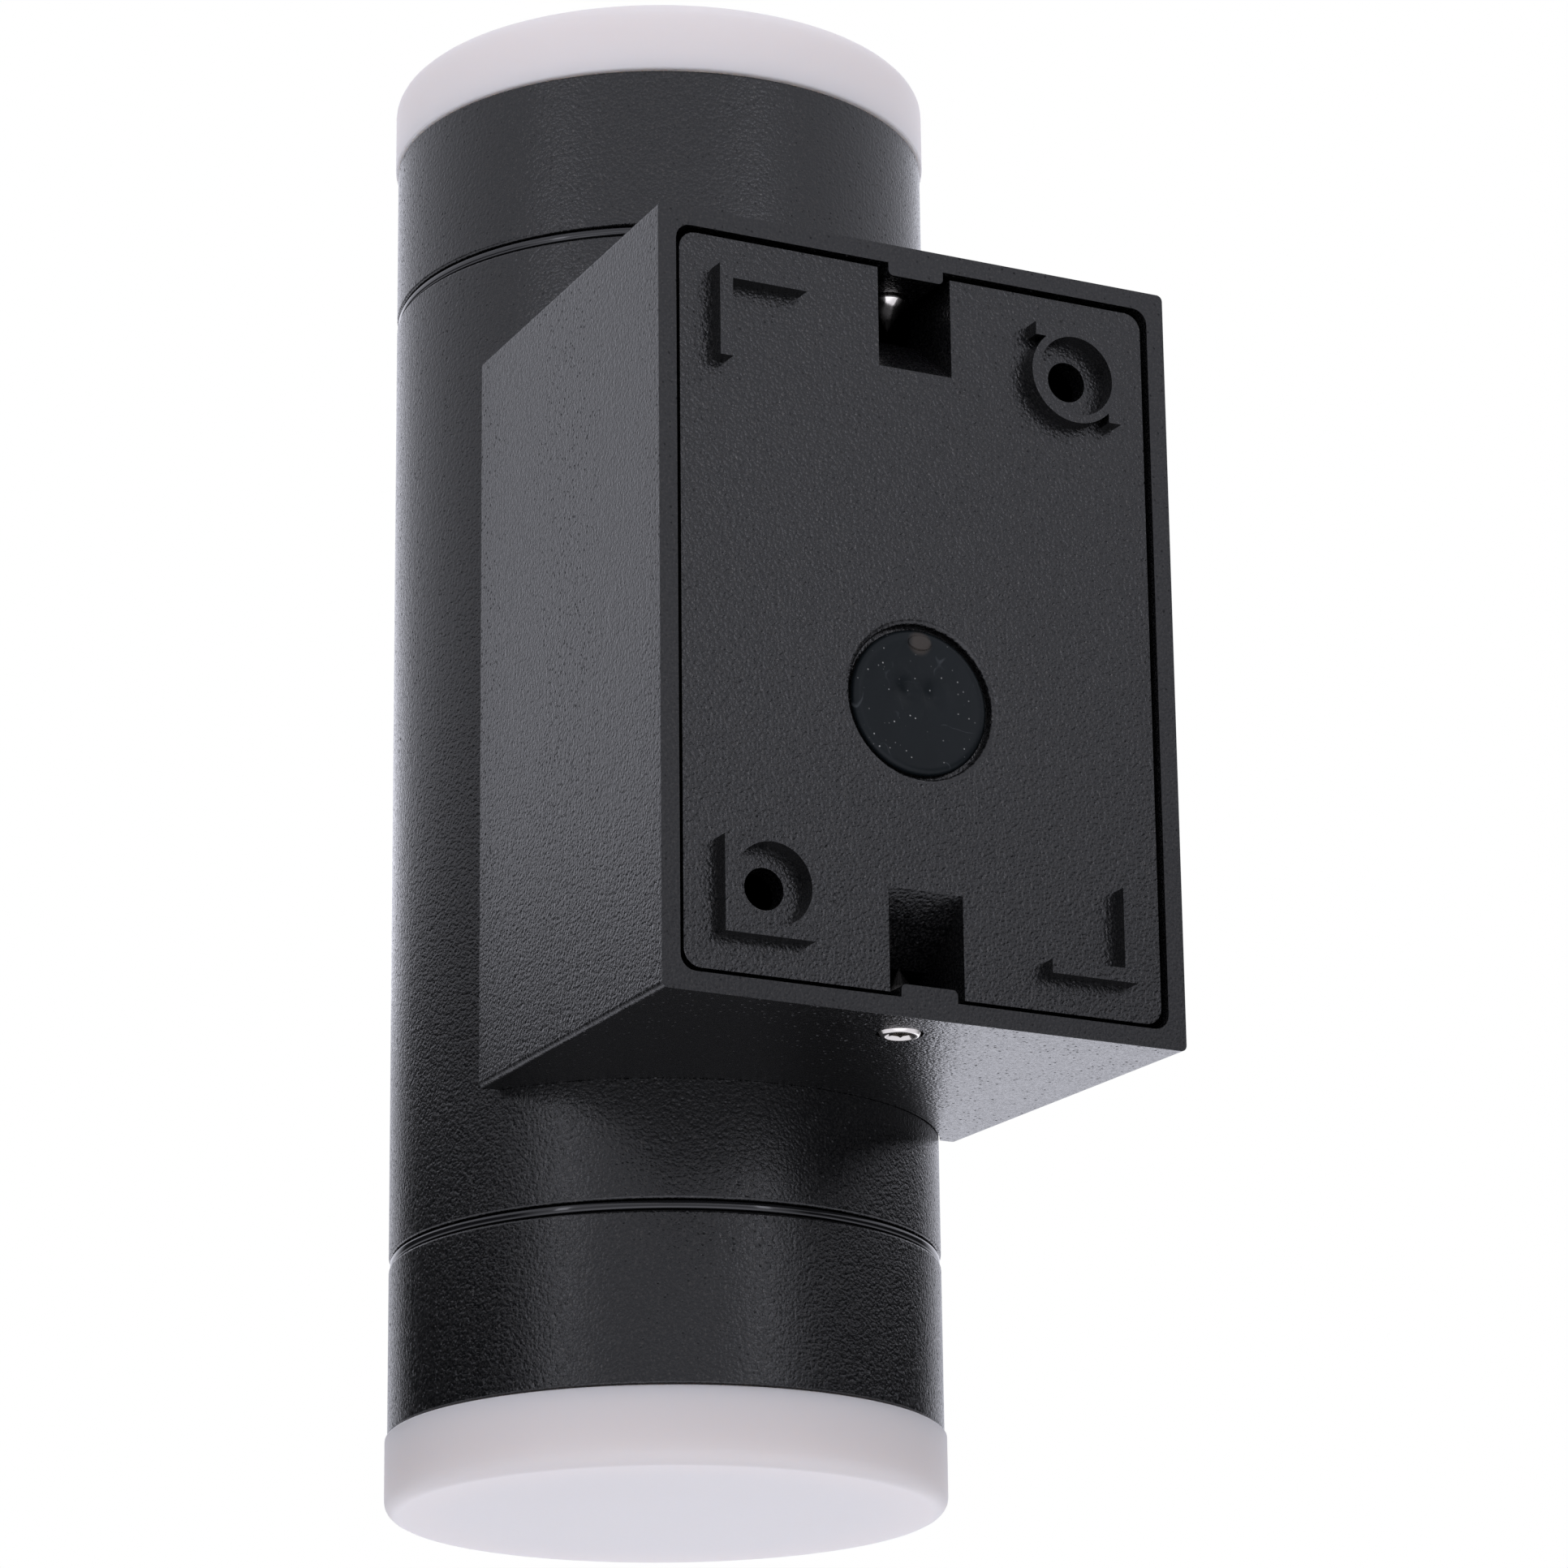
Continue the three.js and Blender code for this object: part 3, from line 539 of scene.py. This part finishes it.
def join_to(item, *tools):
    return combine(item, "UNION", *tools)


def cut_from(item, *tools):
    return combine(item, "DIFFERENCE", *tools)


def merge_shells(name, items):
    """One object from several, their shells kept apart."""
    tool = bmesh.new()
    for item in items:
        tool.from_mesh(item.data)
    mesh = bpy.data.meshes.new(name)
    tool.to_mesh(mesh)
    tool.free()
    for item in items:
        bpy.data.objects.remove(item)
    merged = bpy.data.objects.new(name, mesh)
    bpy.context.collection.objects.link(merged)
    return merged


def soften(item, width, segments=3, angle=32):
    """Rounds every edge sharper than the angle, outside and inside corners alike."""
    modifier = item.modifiers.new("edges", "BEVEL")
    modifier.width = width * MM
    modifier.segments = segments
    modifier.limit_method = "ANGLE"
    modifier.angle_limit = math.radians(angle)
    modifier.use_clamp_overlap = True
    return apply_modifiers(item)


def apply_modifiers(item):
    bpy.context.view_layer.update()
    evaluated = item.evaluated_get(bpy.context.evaluated_depsgraph_get())
    mesh = bpy.data.meshes.new_from_object(evaluated)
    item.modifiers.clear()
    item.data = mesh
    return item


def dress(item, body, node, material, sharp=30):
    """Shades a piece, gives it its material and its body, and hides the CAD nodes it stands for."""
    item.data.materials.clear()
    item.data.materials.append(MATERIALS[material])
    for face in item.data.polygons:
        face.use_smooth = True
    item.data.set_sharp_from_angle(angle=math.radians(sharp))
    flat = item.modifiers.new("flat_faces", "WEIGHTED_NORMAL")
    flat.keep_sharp = True
    apply_modifiers(item)
    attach(item, body)
    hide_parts(*([node] if isinstance(node, str) else node))
    return item


# ---------------------------------------------------------------- sizes read from the frame

def extent(node):
    low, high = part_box(node)
    return Vector(low) / MM, Vector(high) / MM


TUBE_LOW, TUBE_HIGH = extent("body_tube")
AXIS_Y = (TUBE_LOW.y + TUBE_HIGH.y) / 2
TUBE_RADIUS = (TUBE_HIGH.x - TUBE_LOW.x) / 2
TUBE_BORE = TUBE_RADIUS - 2.5
TUBE_END = TUBE_HIGH.z
CAP_LOW, CAP_HIGH = extent("upper_cap_ring")
CAP_START = TUBE_END + 1.3
CAP_END = CAP_HIGH.z
DIFFUSER_LOW, DIFFUSER_HIGH = extent("upper_diffuser")
DIFFUSER_RADIUS = (DIFFUSER_HIGH.x - DIFFUSER_LOW.x) / 2
BOX_LOW, BOX_HIGH = extent("wall_box")
BOX_WALL = 2.2
BOX_FRONT_HALF = (31.1, 44.4)
SADDLE = TUBE_RADIUS + 0.12
PLATE_LOW, PLATE_HIGH = extent("mounting_plate")
PLATE_REAR = -2.0
PLATE_FRONT = -5.0
SHELL_Y = AXIS_Y + TUBE_RADIUS + 0.3 + BOX_WALL
EDGE = 0.35
WIRE_HOLE = 5.0
BODY_SCREW_HOLE = 2.3
BODY_SCREW_Z = 34.0
GRUB_Y = -8.5
GRUB_ROOT = 2.15
GRUB_KEY = 2.5
BOSS_FACE = 41.6
NOTCH_HALF = 4.65
NOTCH_START = 30.6
RAMP_HALF = 6.45
RAMP_ROOT = 28.3
RAMP_TOP = 37.2
CHEEK_TOP = 42.2
RAMP_FRONT = (-10.5, -12.8)
WALL_SCREW = (19.8, 32.7)
GLAND_Z = -8.6
RECESS_RADIUS = 9.6
RECESS_SHOULDER = 0.65
RECESS_FLOOR = -3.4
SPIGOT_ROOT = 29.1
SPIGOT_BORE = 27.7
SPIGOT_THREAD = 29.7
CUP_THREAD = 29.4
CUP_RADIUS = 28.6
CUP_BORE = 26.0
SEAL_BORE = 30.0


# ---------------------------------------------------------------- tube, caps and diffusers

def thread_ridge(name, radius, depth, pitch, low, high, centre=(0, 0), steps=48):
    """A right-hand helical ridge, with tapered ends."""
    turns = (high - low) / pitch
    count = int(turns * steps)
    vertices = []
    faces = []
    for index in range(count + 1):
        angle = TAU * index / steps
        fade = min(1.0, index / (steps / 4), (count - index) / (steps / 4))
        z = low + pitch * index / steps
        crest = radius - depth + depth * fade + 0.001
        root = radius - depth - 0.05
        for reach, lift in ((root, -0.42), (crest, -0.08), (crest, 0.08), (root, 0.42)):
            x, y = centre[0] + reach * math.cos(angle), centre[1] + reach * math.sin(angle)
            vertices.append((x, y, z + lift * pitch))
    for index in range(count):
        a, b = 4 * index, 4 * (index + 1)
        for edge in range(4):
            after = (edge + 1) % 4
            faces.append((a + edge, b + edge, b + after, a + after))
    faces.append((0, 1, 2, 3))
    faces.append(tuple(4 * count + k for k in (3, 2, 1, 0)))
    return mesh_object(name, vertices, faces)


def make_tube():
    profile = filleted([
        (TUBE_BORE, -TUBE_END, 0.2),
        (TUBE_RADIUS, -TUBE_END, EDGE),
        (TUBE_RADIUS, TUBE_END, EDGE),
        (TUBE_BORE, TUBE_END, 0.2),
    ], closed=True)
    item = turn_about_z("body_tube_shell", profile, (0, AXIS_Y))
    screw_holes = [(BODY_SCREW_HOLE, BODY_SCREW_Z), (BODY_SCREW_HOLE, -BODY_SCREW_Z)]
    for radius, z in [(WIRE_HOLE, 0.0), *screw_holes]:
        cut_from(item, drum("hole", radius, "Y", AXIS_Y + 20, AXIS_Y + 40, (0, z)))
    dress(item, "lamp_body", "body_tube", "black_coat")


def make_seal(name):
    low, high, outer = TUBE_END + 0.1, CAP_START - 0.1, TUBE_RADIUS - 0.15
    profile = filleted([
        (SEAL_BORE, low, 0.3),
        (outer, low, 0.42),
        (outer, high, 0.42),
        (SEAL_BORE, high, 0.3),
    ], closed=True)
    item = turn_about_z(f"{name}_seal_o_ring", profile, (0, AXIS_Y))
    return finish_end(item, name, "seal", f"{name}_seal_ring", "seal")


def finish_end(item, name, body, node, material):
    if name == "lower":
        flip_end_for_end(item)
    return dress(item, f"{name}_{body}", node, material)


def make_cap(name):
    spigot = CAP_LOW.z
    profile = filleted([
        (SPIGOT_BORE, spigot, 0.2),
        (SPIGOT_ROOT, spigot, 0.3),
        (SPIGOT_ROOT, CAP_START),
        (TUBE_RADIUS, CAP_START, EDGE),
        (TUBE_RADIUS, CAP_END, EDGE),
        (28.9, CAP_END, 0.2),
        (28.9, CAP_END - 2.5),
        (29.9, CAP_END - 2.5),
        (29.9, CAP_START + 3),
        (SPIGOT_BORE, CAP_START),
    ], closed=True)
    ring = turn_about_z(f"{name}_cap_turned", profile, (0, AXIS_Y))
    low, high = spigot + 1.0, CAP_START - 1.0
    thread = thread_ridge("thread", SPIGOT_THREAD, 0.62, 1.5, low, high, (0, AXIS_Y), 96)
    item = merge_shells(f"{name}_screw_cap", [ring, thread])
    return finish_end(item, name, "cap", f"{name}_cap_ring", "black_coat")


def make_diffuser(name):
    end = DIFFUSER_HIGH.z
    shoulder = CAP_END + 0.12
    profile = filleted([
        (0, end - 2.6),
        (CUP_BORE, end - 2.6, 1.0),
        (CUP_BORE, DIFFUSER_LOW.z),
        (CUP_RADIUS, DIFFUSER_LOW.z),
        (CUP_THREAD, DIFFUSER_LOW.z + 2.4, 0.2),
        (CUP_THREAD, CAP_END - 2.8, 0.1),
        (CUP_RADIUS, CAP_END - 2.8),
        (CUP_RADIUS, shoulder),
        (DIFFUSER_RADIUS, shoulder, 0.25),
        (DIFFUSER_RADIUS, end, 1.7),
        (0, end),
    ])
    item = turn_about_z(f"{name}_opal_cup", profile, (0, AXIS_Y))
    return finish_end(item, name, "cap", f"{name}_diffuser", "opal")


# ---------------------------------------------------------------- wall box

def drafted(name, inset, radius, rear, front):
    """The box's outline drawn out along Y, drawn in towards the front by the draft."""
    depth = BOX_HIGH.y - BOX_LOW.y
    draft_x = (BOX_HIGH.x - BOX_FRONT_HALF[0]) / depth
    draft_z = (BOX_HIGH.z - BOX_FRONT_HALF[1]) / depth
    vertices = []
    for y in (front, rear):
        half_x = BOX_HIGH.x - inset - draft_x * (BOX_HIGH.y - y)
        half_z = BOX_HIGH.z - inset - draft_z * (BOX_HIGH.y - y)
        outline = rectangle((-half_x, -half_z), (half_x, half_z), radius)
        vertices += [(x, y, z) for x, z in outline]
    count = len(vertices) // 2
    faces = [tuple(range(count)), tuple(range(2 * count - 1, count - 1, -1))]
    for index in range(count):
        after = (index + 1) % count
        faces.append((index, after, count + after, count + index))
    return mesh_object(name, vertices, faces)


def make_box():
    rim = BOX_HIGH.y
    shell = drafted("wall_box_shell", 0, 0.7, rim, BOX_LOW.y)
    hollow = drafted("hollow", BOX_WALL, 1.8, rim + 3, BOX_LOW.y + 0.5)
    reach = BOX_HIGH.z + 5
    cut_from(hollow, drum("saddle_back", SHELL_Y - AXIS_Y, "Z", -reach, reach, (0, AXIS_Y), ROUND))
    for side in (-1, 1):
        inner, outer = sorted((side * BOSS_FACE, side * (BOX_HIGH.z + 1)))
        boss = rectangle((-3.5, inner), (3.5, outer), 0.6)
        cut_from(hollow, prism("boss", boss, "Y", rim - 12.5, rim + 4))
    cut_from(shell, hollow)
    join_to(shell, block("terminal_pad", (0.5, SHELL_Y - 1.4, 12), (8.5, -31.5, 20)))
    join_to(shell, drum("earth_boss", 4, "Y", SHELL_Y - 1, -30.6, (0, -18)))
    cut_from(shell, drum("saddle", SADDLE, "Z", -reach, reach, (0, AXIS_Y), ROUND))
    for side in (-1, 1):
        inner, outer = sorted((side * 40.0, side * (BOX_HIGH.z + 2)))
        cut_from(shell, drum("grub_thread", 2.65, "Z", inner, outer, (0, GRUB_Y)))
        place = (0, side * BODY_SCREW_Z)
        cut_from(shell, drum("body_screw_hole", BODY_SCREW_HOLE, "Y", SHELL_Y - 6, SHELL_Y + 1, place))
    cut_from(shell, drum("wire_hole", WIRE_HOLE, "Y", SHELL_Y - 6, SHELL_Y + 1))
    soften(shell, 0.35)
    dress(shell, "lamp_body", "wall_box", "box_coat")


# ---------------------------------------------------------------- mounting plate

def make_plate():
    low = (PLATE_LOW.x, PLATE_LOW.z)
    high = (PLATE_HIGH.x, PLATE_HIGH.z)
    plate = prism("cast_plate", rectangle(low, high, 2.0), "Y", PLATE_FRONT, PLATE_REAR)
    for side in (-1, 1):
        inner, outer = sorted((side * NOTCH_START, side * 50.0))
        cut_from(plate, block("notch", (-NOTCH_HALF, PLATE_FRONT - 1, inner), (NOTCH_HALF, 1, outer)))
        join_to(plate, make_ramp(side))
    for side_x in (-1, 1):
        for side_z in (-1, 1):
            join_to(plate, make_ridge(side_x, side_z))
    for side_x, side_z in ((-1, 1), (1, -1)):
        x, z = side_x * WALL_SCREW[0], side_z * WALL_SCREW[1]
        join_to(plate, drum("ring", 5.7, "Y", PLATE_REAR - 0.5, 0, (x, z), 64))
        cut_from(plate, drum("sink", 4.75, "Y", -2.3, 1, (x, z), 64))
        cut_from(plate, drum("screw_hole", 2.4, "Y", PLATE_FRONT - 1, 1, (x, z)))
    cut_from(plate, lay_along_y(make_gland_recess(), 0, GLAND_Z))
    cut_from(plate, drum("gland_hole", 7.5, "Y", PLATE_FRONT - 1, 1, (0, GLAND_Z), 96))
    soften(plate, 0.28)
    dress(plate, "wall_bracket", "mounting_plate", "black_coat")


def make_gland_recess():
    """The tool for the round recess that the grommet's rear rim lies in, with a rounded shoulder."""
    shoulder = []
    for turn in (0, 0.31, 0.63, 0.94, 1.26, 1.57):
        reach = RECESS_RADIUS - RECESS_SHOULDER * math.cos(turn)
        shoulder.append((reach, -2.65 + RECESS_SHOULDER * math.sin(turn)))
    foot = [(0, RECESS_FLOOR), (8.95, RECESS_FLOOR)]
    mouth = [(RECESS_RADIUS, 1), (0, 1)]
    return turn_about_z("gland_recess", [*foot, *shoulder, *mouth], segments=96)


def make_ridge(side_x, side_z):
    """An L-shaped corner ridge, filled in behind the two screw bosses."""
    outer_x, outer_z, length, width = 25.6, 38.6, 10.9, 1.6
    inner = (6.0, 6.0) if side_x * side_z < 0 else (width, width)
    corners = [
        (outer_x, outer_z),
        (outer_x - length, outer_z),
        (outer_x - length, outer_z - width),
        (outer_x - inner[0], outer_z - width),
        (outer_x - inner[0], outer_z - inner[1]),
        (outer_x - width, outer_z - inner[1]),
        (outer_x - width, outer_z - length),
        (outer_x, outer_z - length),
    ]
    if inner[0] == width:
        corners = [corner for index, corner in enumerate(corners) if index not in (3, 5)]
    outline = [(side_x * x, side_z * z) for x, z in corners]
    return prism("ridge", outline, "Y", PLATE_REAR - 0.5, 0)


def make_ramp(side):
    """The slope that a grub screw's point pulls against, between two cheeks."""
    upper_y, lower_y = RAMP_FRONT
    root_y = PLATE_FRONT + 0.5
    ramp = [
        (PLATE_REAR, NOTCH_START),
        (upper_y, RAMP_TOP),
        (lower_y, RAMP_TOP),
        (root_y, RAMP_ROOT),
        (PLATE_REAR, RAMP_ROOT),
    ]
    cheek = [(root_y, RAMP_ROOT), (root_y, CHEEK_TOP), (upper_y, CHEEK_TOP), (lower_y, RAMP_TOP)]
    ramp = [(y, side * z) for y, z in ramp]
    cheek = [(y, side * z) for y, z in cheek]
    body = prism("ramp", ramp, "X", -RAMP_HALF, RAMP_HALF)
    right = prism("cheek", cheek, "X", NOTCH_HALF, RAMP_HALF)
    left = prism("cheek", cheek, "X", -RAMP_HALF, -NOTCH_HALF)
    return join_to(body, right, left)


def make_grommet():
    """A blind rubber spool: a raised rim, a soft face with two finger dimples, and a moulding nub."""
    rear = PLATE_REAR - 0.2
    radii = [0.25 * step for step in range(29, -1, -1)]
    face = [(radius, rear - 0.22 + 0.2 * (radius / 7.5) ** 4) for radius in radii]
    profile = filleted([
        (0, PLATE_FRONT - 1.3),
        (8.5, PLATE_FRONT - 1.3, 0.4),
        (8.5, PLATE_FRONT - 0.3, 0.3),
        (7.2, PLATE_FRONT - 0.3),
        (7.2, -3.1),
        (8.5, -3.1, 0.3),
        (8.5, rear, 0.85),
        *face,
    ])
    spool = turn_about_z("spool", profile, segments=96)
    for vertex in spool.data.vertices:
        x, y, height = vertex.co / MM
        if height > rear - 0.5 and math.hypot(x, y) < 6.6:
            left, right = (math.exp(-((x - at) ** 2 + (y + 0.9) ** 2) / 1.8) for at in (1.4, -1.9))
            crease = math.exp(-((x + 0.5 - 0.12 * (0.3 - y) ** 2) ** 2) / 0.05 - (y + 1.8) ** 2 / 5)
            vertex.co.z += (0.14 * crease - 0.55 * left - 0.45 * right) * MM
    foot, top = rear - 0.6, rear + 0.3
    nub = turn_about_z("nub", filleted([(0, foot), (0.85, foot), (0.85, top, 0.3), (0, top)]), segments=32)
    nub.data.transform(Matrix.Diagonal((1.75, 1, 1, 1)))
    nub.data.transform(Matrix.Translation((0, -6.9 * MM, 0)))
    item = merge_shells("grommet_moulded", [spool, nub])
    lay_along_y(item, 0, GLAND_Z)
    dress(item, "wall_bracket", "cable_grommet", "black_rubber")


# ---------------------------------------------------------------- grub screws

def make_grub_screw(name):
    low, high = extent("upper_grub_screw")
    tip, end = low.z, high.z
    centre = (0, GRUB_Y)
    profile = filleted([
        (0, tip),
        (2.2, tip + 3.4, 0.1),
        (2.2, tip + 3.8),
        (GRUB_ROOT, tip + 4.0),
        (GRUB_ROOT, end - 0.9),
        (2.45, end - 0.6, 0.15),
        (2.1, end, 0.25),
        (0, end),
    ])
    core = turn_about_z("core", profile, centre, SMALL_ROUND)
    cut_from(core, drum("socket", GRUB_KEY / math.sqrt(3), "Z", end - 2.2, end + 1, centre, 6))
    mouth = [(0, end - 0.4), (1.3, end - 0.4), (1.75, end + 0.05), (1.75, end + 1), (0, end + 1)]
    cut_from(core, turn_about_z("socket_mouth", mouth, centre, SMALL_ROUND))
    thread = thread_ridge("thread", 2.5, 0.36, 0.8, tip + 4.3, end - 0.8, centre, 40)
    item = merge_shells(f"{name}_cone_point_screw", [core, thread])
    if name == "lower":
        item.data.transform(Matrix.Scale(-1, 4, (0, 0, 1)))
        item.data.flip_normals()
    dress(item, f"{name}_screw", f"{name}_grub_screw", "stainless")


# ---------------------------------------------------------------- pieces inside

def finished_from_cad(node, body, material, edge=0.2, smooth=0, sharp=30):
    """A CAD node's shape with its flat faces joined up, then its edges rounded or its surface smoothed."""
    tool = bmesh.new()
    tool.from_mesh(frame["nodes"][node].data)
    bmesh.ops.remove_doubles(tool, verts=tool.verts, dist=1e-6)
    if not smooth:
        flat = math.radians(1.5)
        bmesh.ops.dissolve_limit(tool, angle_limit=flat, verts=tool.verts, edges=tool.edges)
    mesh = bpy.data.meshes.new(f"{node}_finished")
    tool.to_mesh(mesh)
    tool.free()
    item = bpy.data.objects.new(f"{node}_finished", mesh)
    bpy.context.collection.objects.link(item)
    if smooth:
        modifier = item.modifiers.new("smooth", "SUBSURF")
        modifier.levels = modifier.render_levels = smooth
    else:
        soften(item, edge, 2)
    return dress(item, body, node, material, sharp)


def make_bush():
    low, high = extent("wire_bush")
    bore = 3.4
    profile = filleted([
        (bore, low.y, 0.3),
        (4.85, low.y, 0.4),
        (4.85, SHELL_Y + 0.15),
        (high.x, SHELL_Y + 0.15, 0.2),
        (high.x, high.y, 0.45),
        (bore, high.y, 0.35),
    ], closed=True)
    item = lay_along_y(turn_about_z("wire_bush_moulded", profile, segments=64))
    dress(item, "lamp_body", "wire_bush", "black_rubber")


def make_socket_screw(node, body, thread_radius, head_height, key):
    """A screw along Y with a rounded head towards the wall and a hexagon socket."""
    low, high = extent(node)
    x, z = (low.x + high.x) / 2, (low.z + high.z) / 2
    head_radius = (high.x - low.x) / 2
    seat = high.y - head_height
    profile = filleted([
        (0, low.y),
        (thread_radius - 0.1, low.y, 0.3),
        (thread_radius - 0.1, seat),
        (head_radius, seat, 0.15),
        (head_radius, high.y, 0.9),
        (0, high.y),
    ])
    item = turn_about_z(f"{node}_turned", profile, segments=SMALL_ROUND)
    floor = seat + 0.35 * head_height
    cut_from(item, drum("socket", key / math.sqrt(3), "Z", floor, high.y + 1, segments=6))
    lay_along_y(item, x, z)
    dress(item, body, node, "zinc_steel")


def make_slotted_screw(node, body, thread_radius, head_height):
    low, high = extent(node)
    x, z = (low.x + high.x) / 2, (low.z + high.z) / 2
    head_radius = (high.x - low.x) / 2
    seat = high.y - head_height
    profile = filleted([
        (0, low.y),
        (thread_radius - 0.1, low.y, 0.2),
        (thread_radius - 0.1, seat),
        (head_radius, seat, 0.1),
        (head_radius, high.y, 0.4),
        (0, high.y),
    ])
    item = turn_about_z(f"{node}_turned", profile, segments=SMALL_ROUND)
    outline = rectangle((-head_radius - 1, -0.33), (head_radius + 1, 0.33))
    cut_from(item, prism("slot", outline, "Z", high.y - 0.7, high.y + 1))
    lay_along_y(item, x, z)
    dress(item, body, node, "zinc_steel")


def make_terminal_block():
    """Three poles on a common web, with wire holes and wells for the clamp screws."""
    low, high = extent("terminal_block")
    web, pitch = -21.7, 9
    wire_y = (low.y + high.y) / 2
    item = block("terminal_block_moulded", tuple(low), (high.x, web, high.z))
    for index in range(3):
        x = (index - 1) * pitch
        join_to(item, block("pole", (x - 3.4, web - 0.5, low.z), (x + 3.4, high.y, high.z)))
    for index in range(3):
        x = (index - 1) * pitch
        for z in (low.z + 4, high.z - 4):
            cut_from(item, drum("well", 2.15, "Y", high.y - 4, high.y + 1, (x, z), 32))
        cut_from(item, drum("wire_hole", 1.8, "Z", low.z - 1, high.z + 1, (x, wire_y), 32))
    fixing = extent("terminal_fixing_screw")
    x, z = (fixing[0].x + fixing[1].x) / 2, (fixing[0].z + fixing[1].z) / 2
    cut_from(item, drum("fixing", 1.7, "Y", low.y - 1, high.y + 1, (x, z), 32))
    cut_from(item, drum("fixing_sink", 2.45, "Y", web, high.y + 1, (x, z), 32))
    soften(item, 0.25)
    dress(item, "lamp_body", "terminal_block", "terminal_plastic")


def make_inner_pieces():
    make_bush()
    make_terminal_block()
    make_slotted_screw("terminal_fixing_screw", "lamp_body", 1.5, 2.0)
    for index in range(6):
        make_slotted_screw(f"terminal_screw_{index + 1}", "lamp_body", 1.2, 1.6)
    make_socket_screw("earth_screw", "lamp_body", 2.0, 2.2, 2.6)
    finished_from_cad("holder_bracket", "lamp_body", "zinc_steel", 0.25)
    for name in ("upper", "lower"):
        make_socket_screw(f"{name}_body_screw", "lamp_body", 2.0, 2.4, 3.0)
        finished_from_cad(f"{name}_lead", "lamp_body", "lead_sheath", smooth=2, sharp=180)
        finished_from_cad(f"{name}_lamp_holder", "lamp_body", "ceramic", 0.4)
        finished_from_cad(f"{name}_holder_screw_left", "lamp_body", "zinc_steel", 0.2)
        finished_from_cad(f"{name}_holder_screw_right", "lamp_body", "zinc_steel", 0.2)
        make_lamp(name)


def make_lamp(name):
    """A reflector lamp: a turned shell with two pins, and a front lens."""
    low, high = extent("upper_lamp_shell")
    base = low.z + 7.5
    lens_low, lens_high = extent("upper_lamp_lens")
    lens_radius = (lens_high.x - lens_low.x) / 2
    profile = filleted([
        (0, base),
        (13.2, base, 0.5),
        (14.2, base + 1, 0.5),
        (14.8, base + 9, 2.0),
        (16.5, base + 15, 3.0),
        (21, base + 27, 4.0),
        (24, base + 35, 4.0),
        (24.9, base + 41, 2.0),
        (24.9, high.z, 0.7),
        (lens_radius + 0.2, high.z, 0.1),
        (lens_radius + 0.2, lens_low.z - 0.2),
        (0, lens_low.z - 0.2),
    ])
    shell = turn_about_z("shell", profile, (0, AXIS_Y), 96)
    pins = []
    for side in (-1, 1):
        pin = filleted([
            (0, low.z),
            (2.4, low.z, 0.4),
            (2.4, low.z + 2.6, 0.3),
            (1.6, low.z + 2.6),
            (1.6, base + 0.4),
            (0, base + 0.4),
        ])
        pins.append(turn_about_z("pin", pin, (side * 5, AXIS_Y), 32))
    item = merge_shells(f"{name}_lamp_shell_turned", [shell, *pins])
    finish_end(item, name, "lamp", f"{name}_lamp_shell", "lamp_white")
    front = filleted([
        (0, lens_low.z),
        (lens_radius, lens_low.z),
        (lens_radius, lens_high.z - 0.2, 0.2),
        (lens_radius * 0.8, lens_high.z, 1.0),
        (0, lens_high.z),
    ])
    glass = turn_about_z(f"{name}_lens_moulded", front, (0, AXIS_Y), 96)
    finish_end(glass, name, "lamp", f"{name}_lamp_lens", "lamp_glass")


# ---------------------------------------------------------------- everything

MATERIALS = make_materials()


def give_nodes_materials():
    slots = {row["node"]: row["material_slot"] for row in frame["record"]["subparts"]}
    for name, node in frame["nodes"].items():
        node.data.materials.clear()
        node.data.materials.append(MATERIALS[slots[name]])


make_camera()
make_floor()
make_light()
give_nodes_materials()
make_tube()
make_box()
make_plate()
make_grommet()
make_inner_pieces()
for end_name in ("upper", "lower"):
    make_seal(end_name)
    make_cap(end_name)
    make_diffuser(end_name)
    make_grub_screw(end_name)
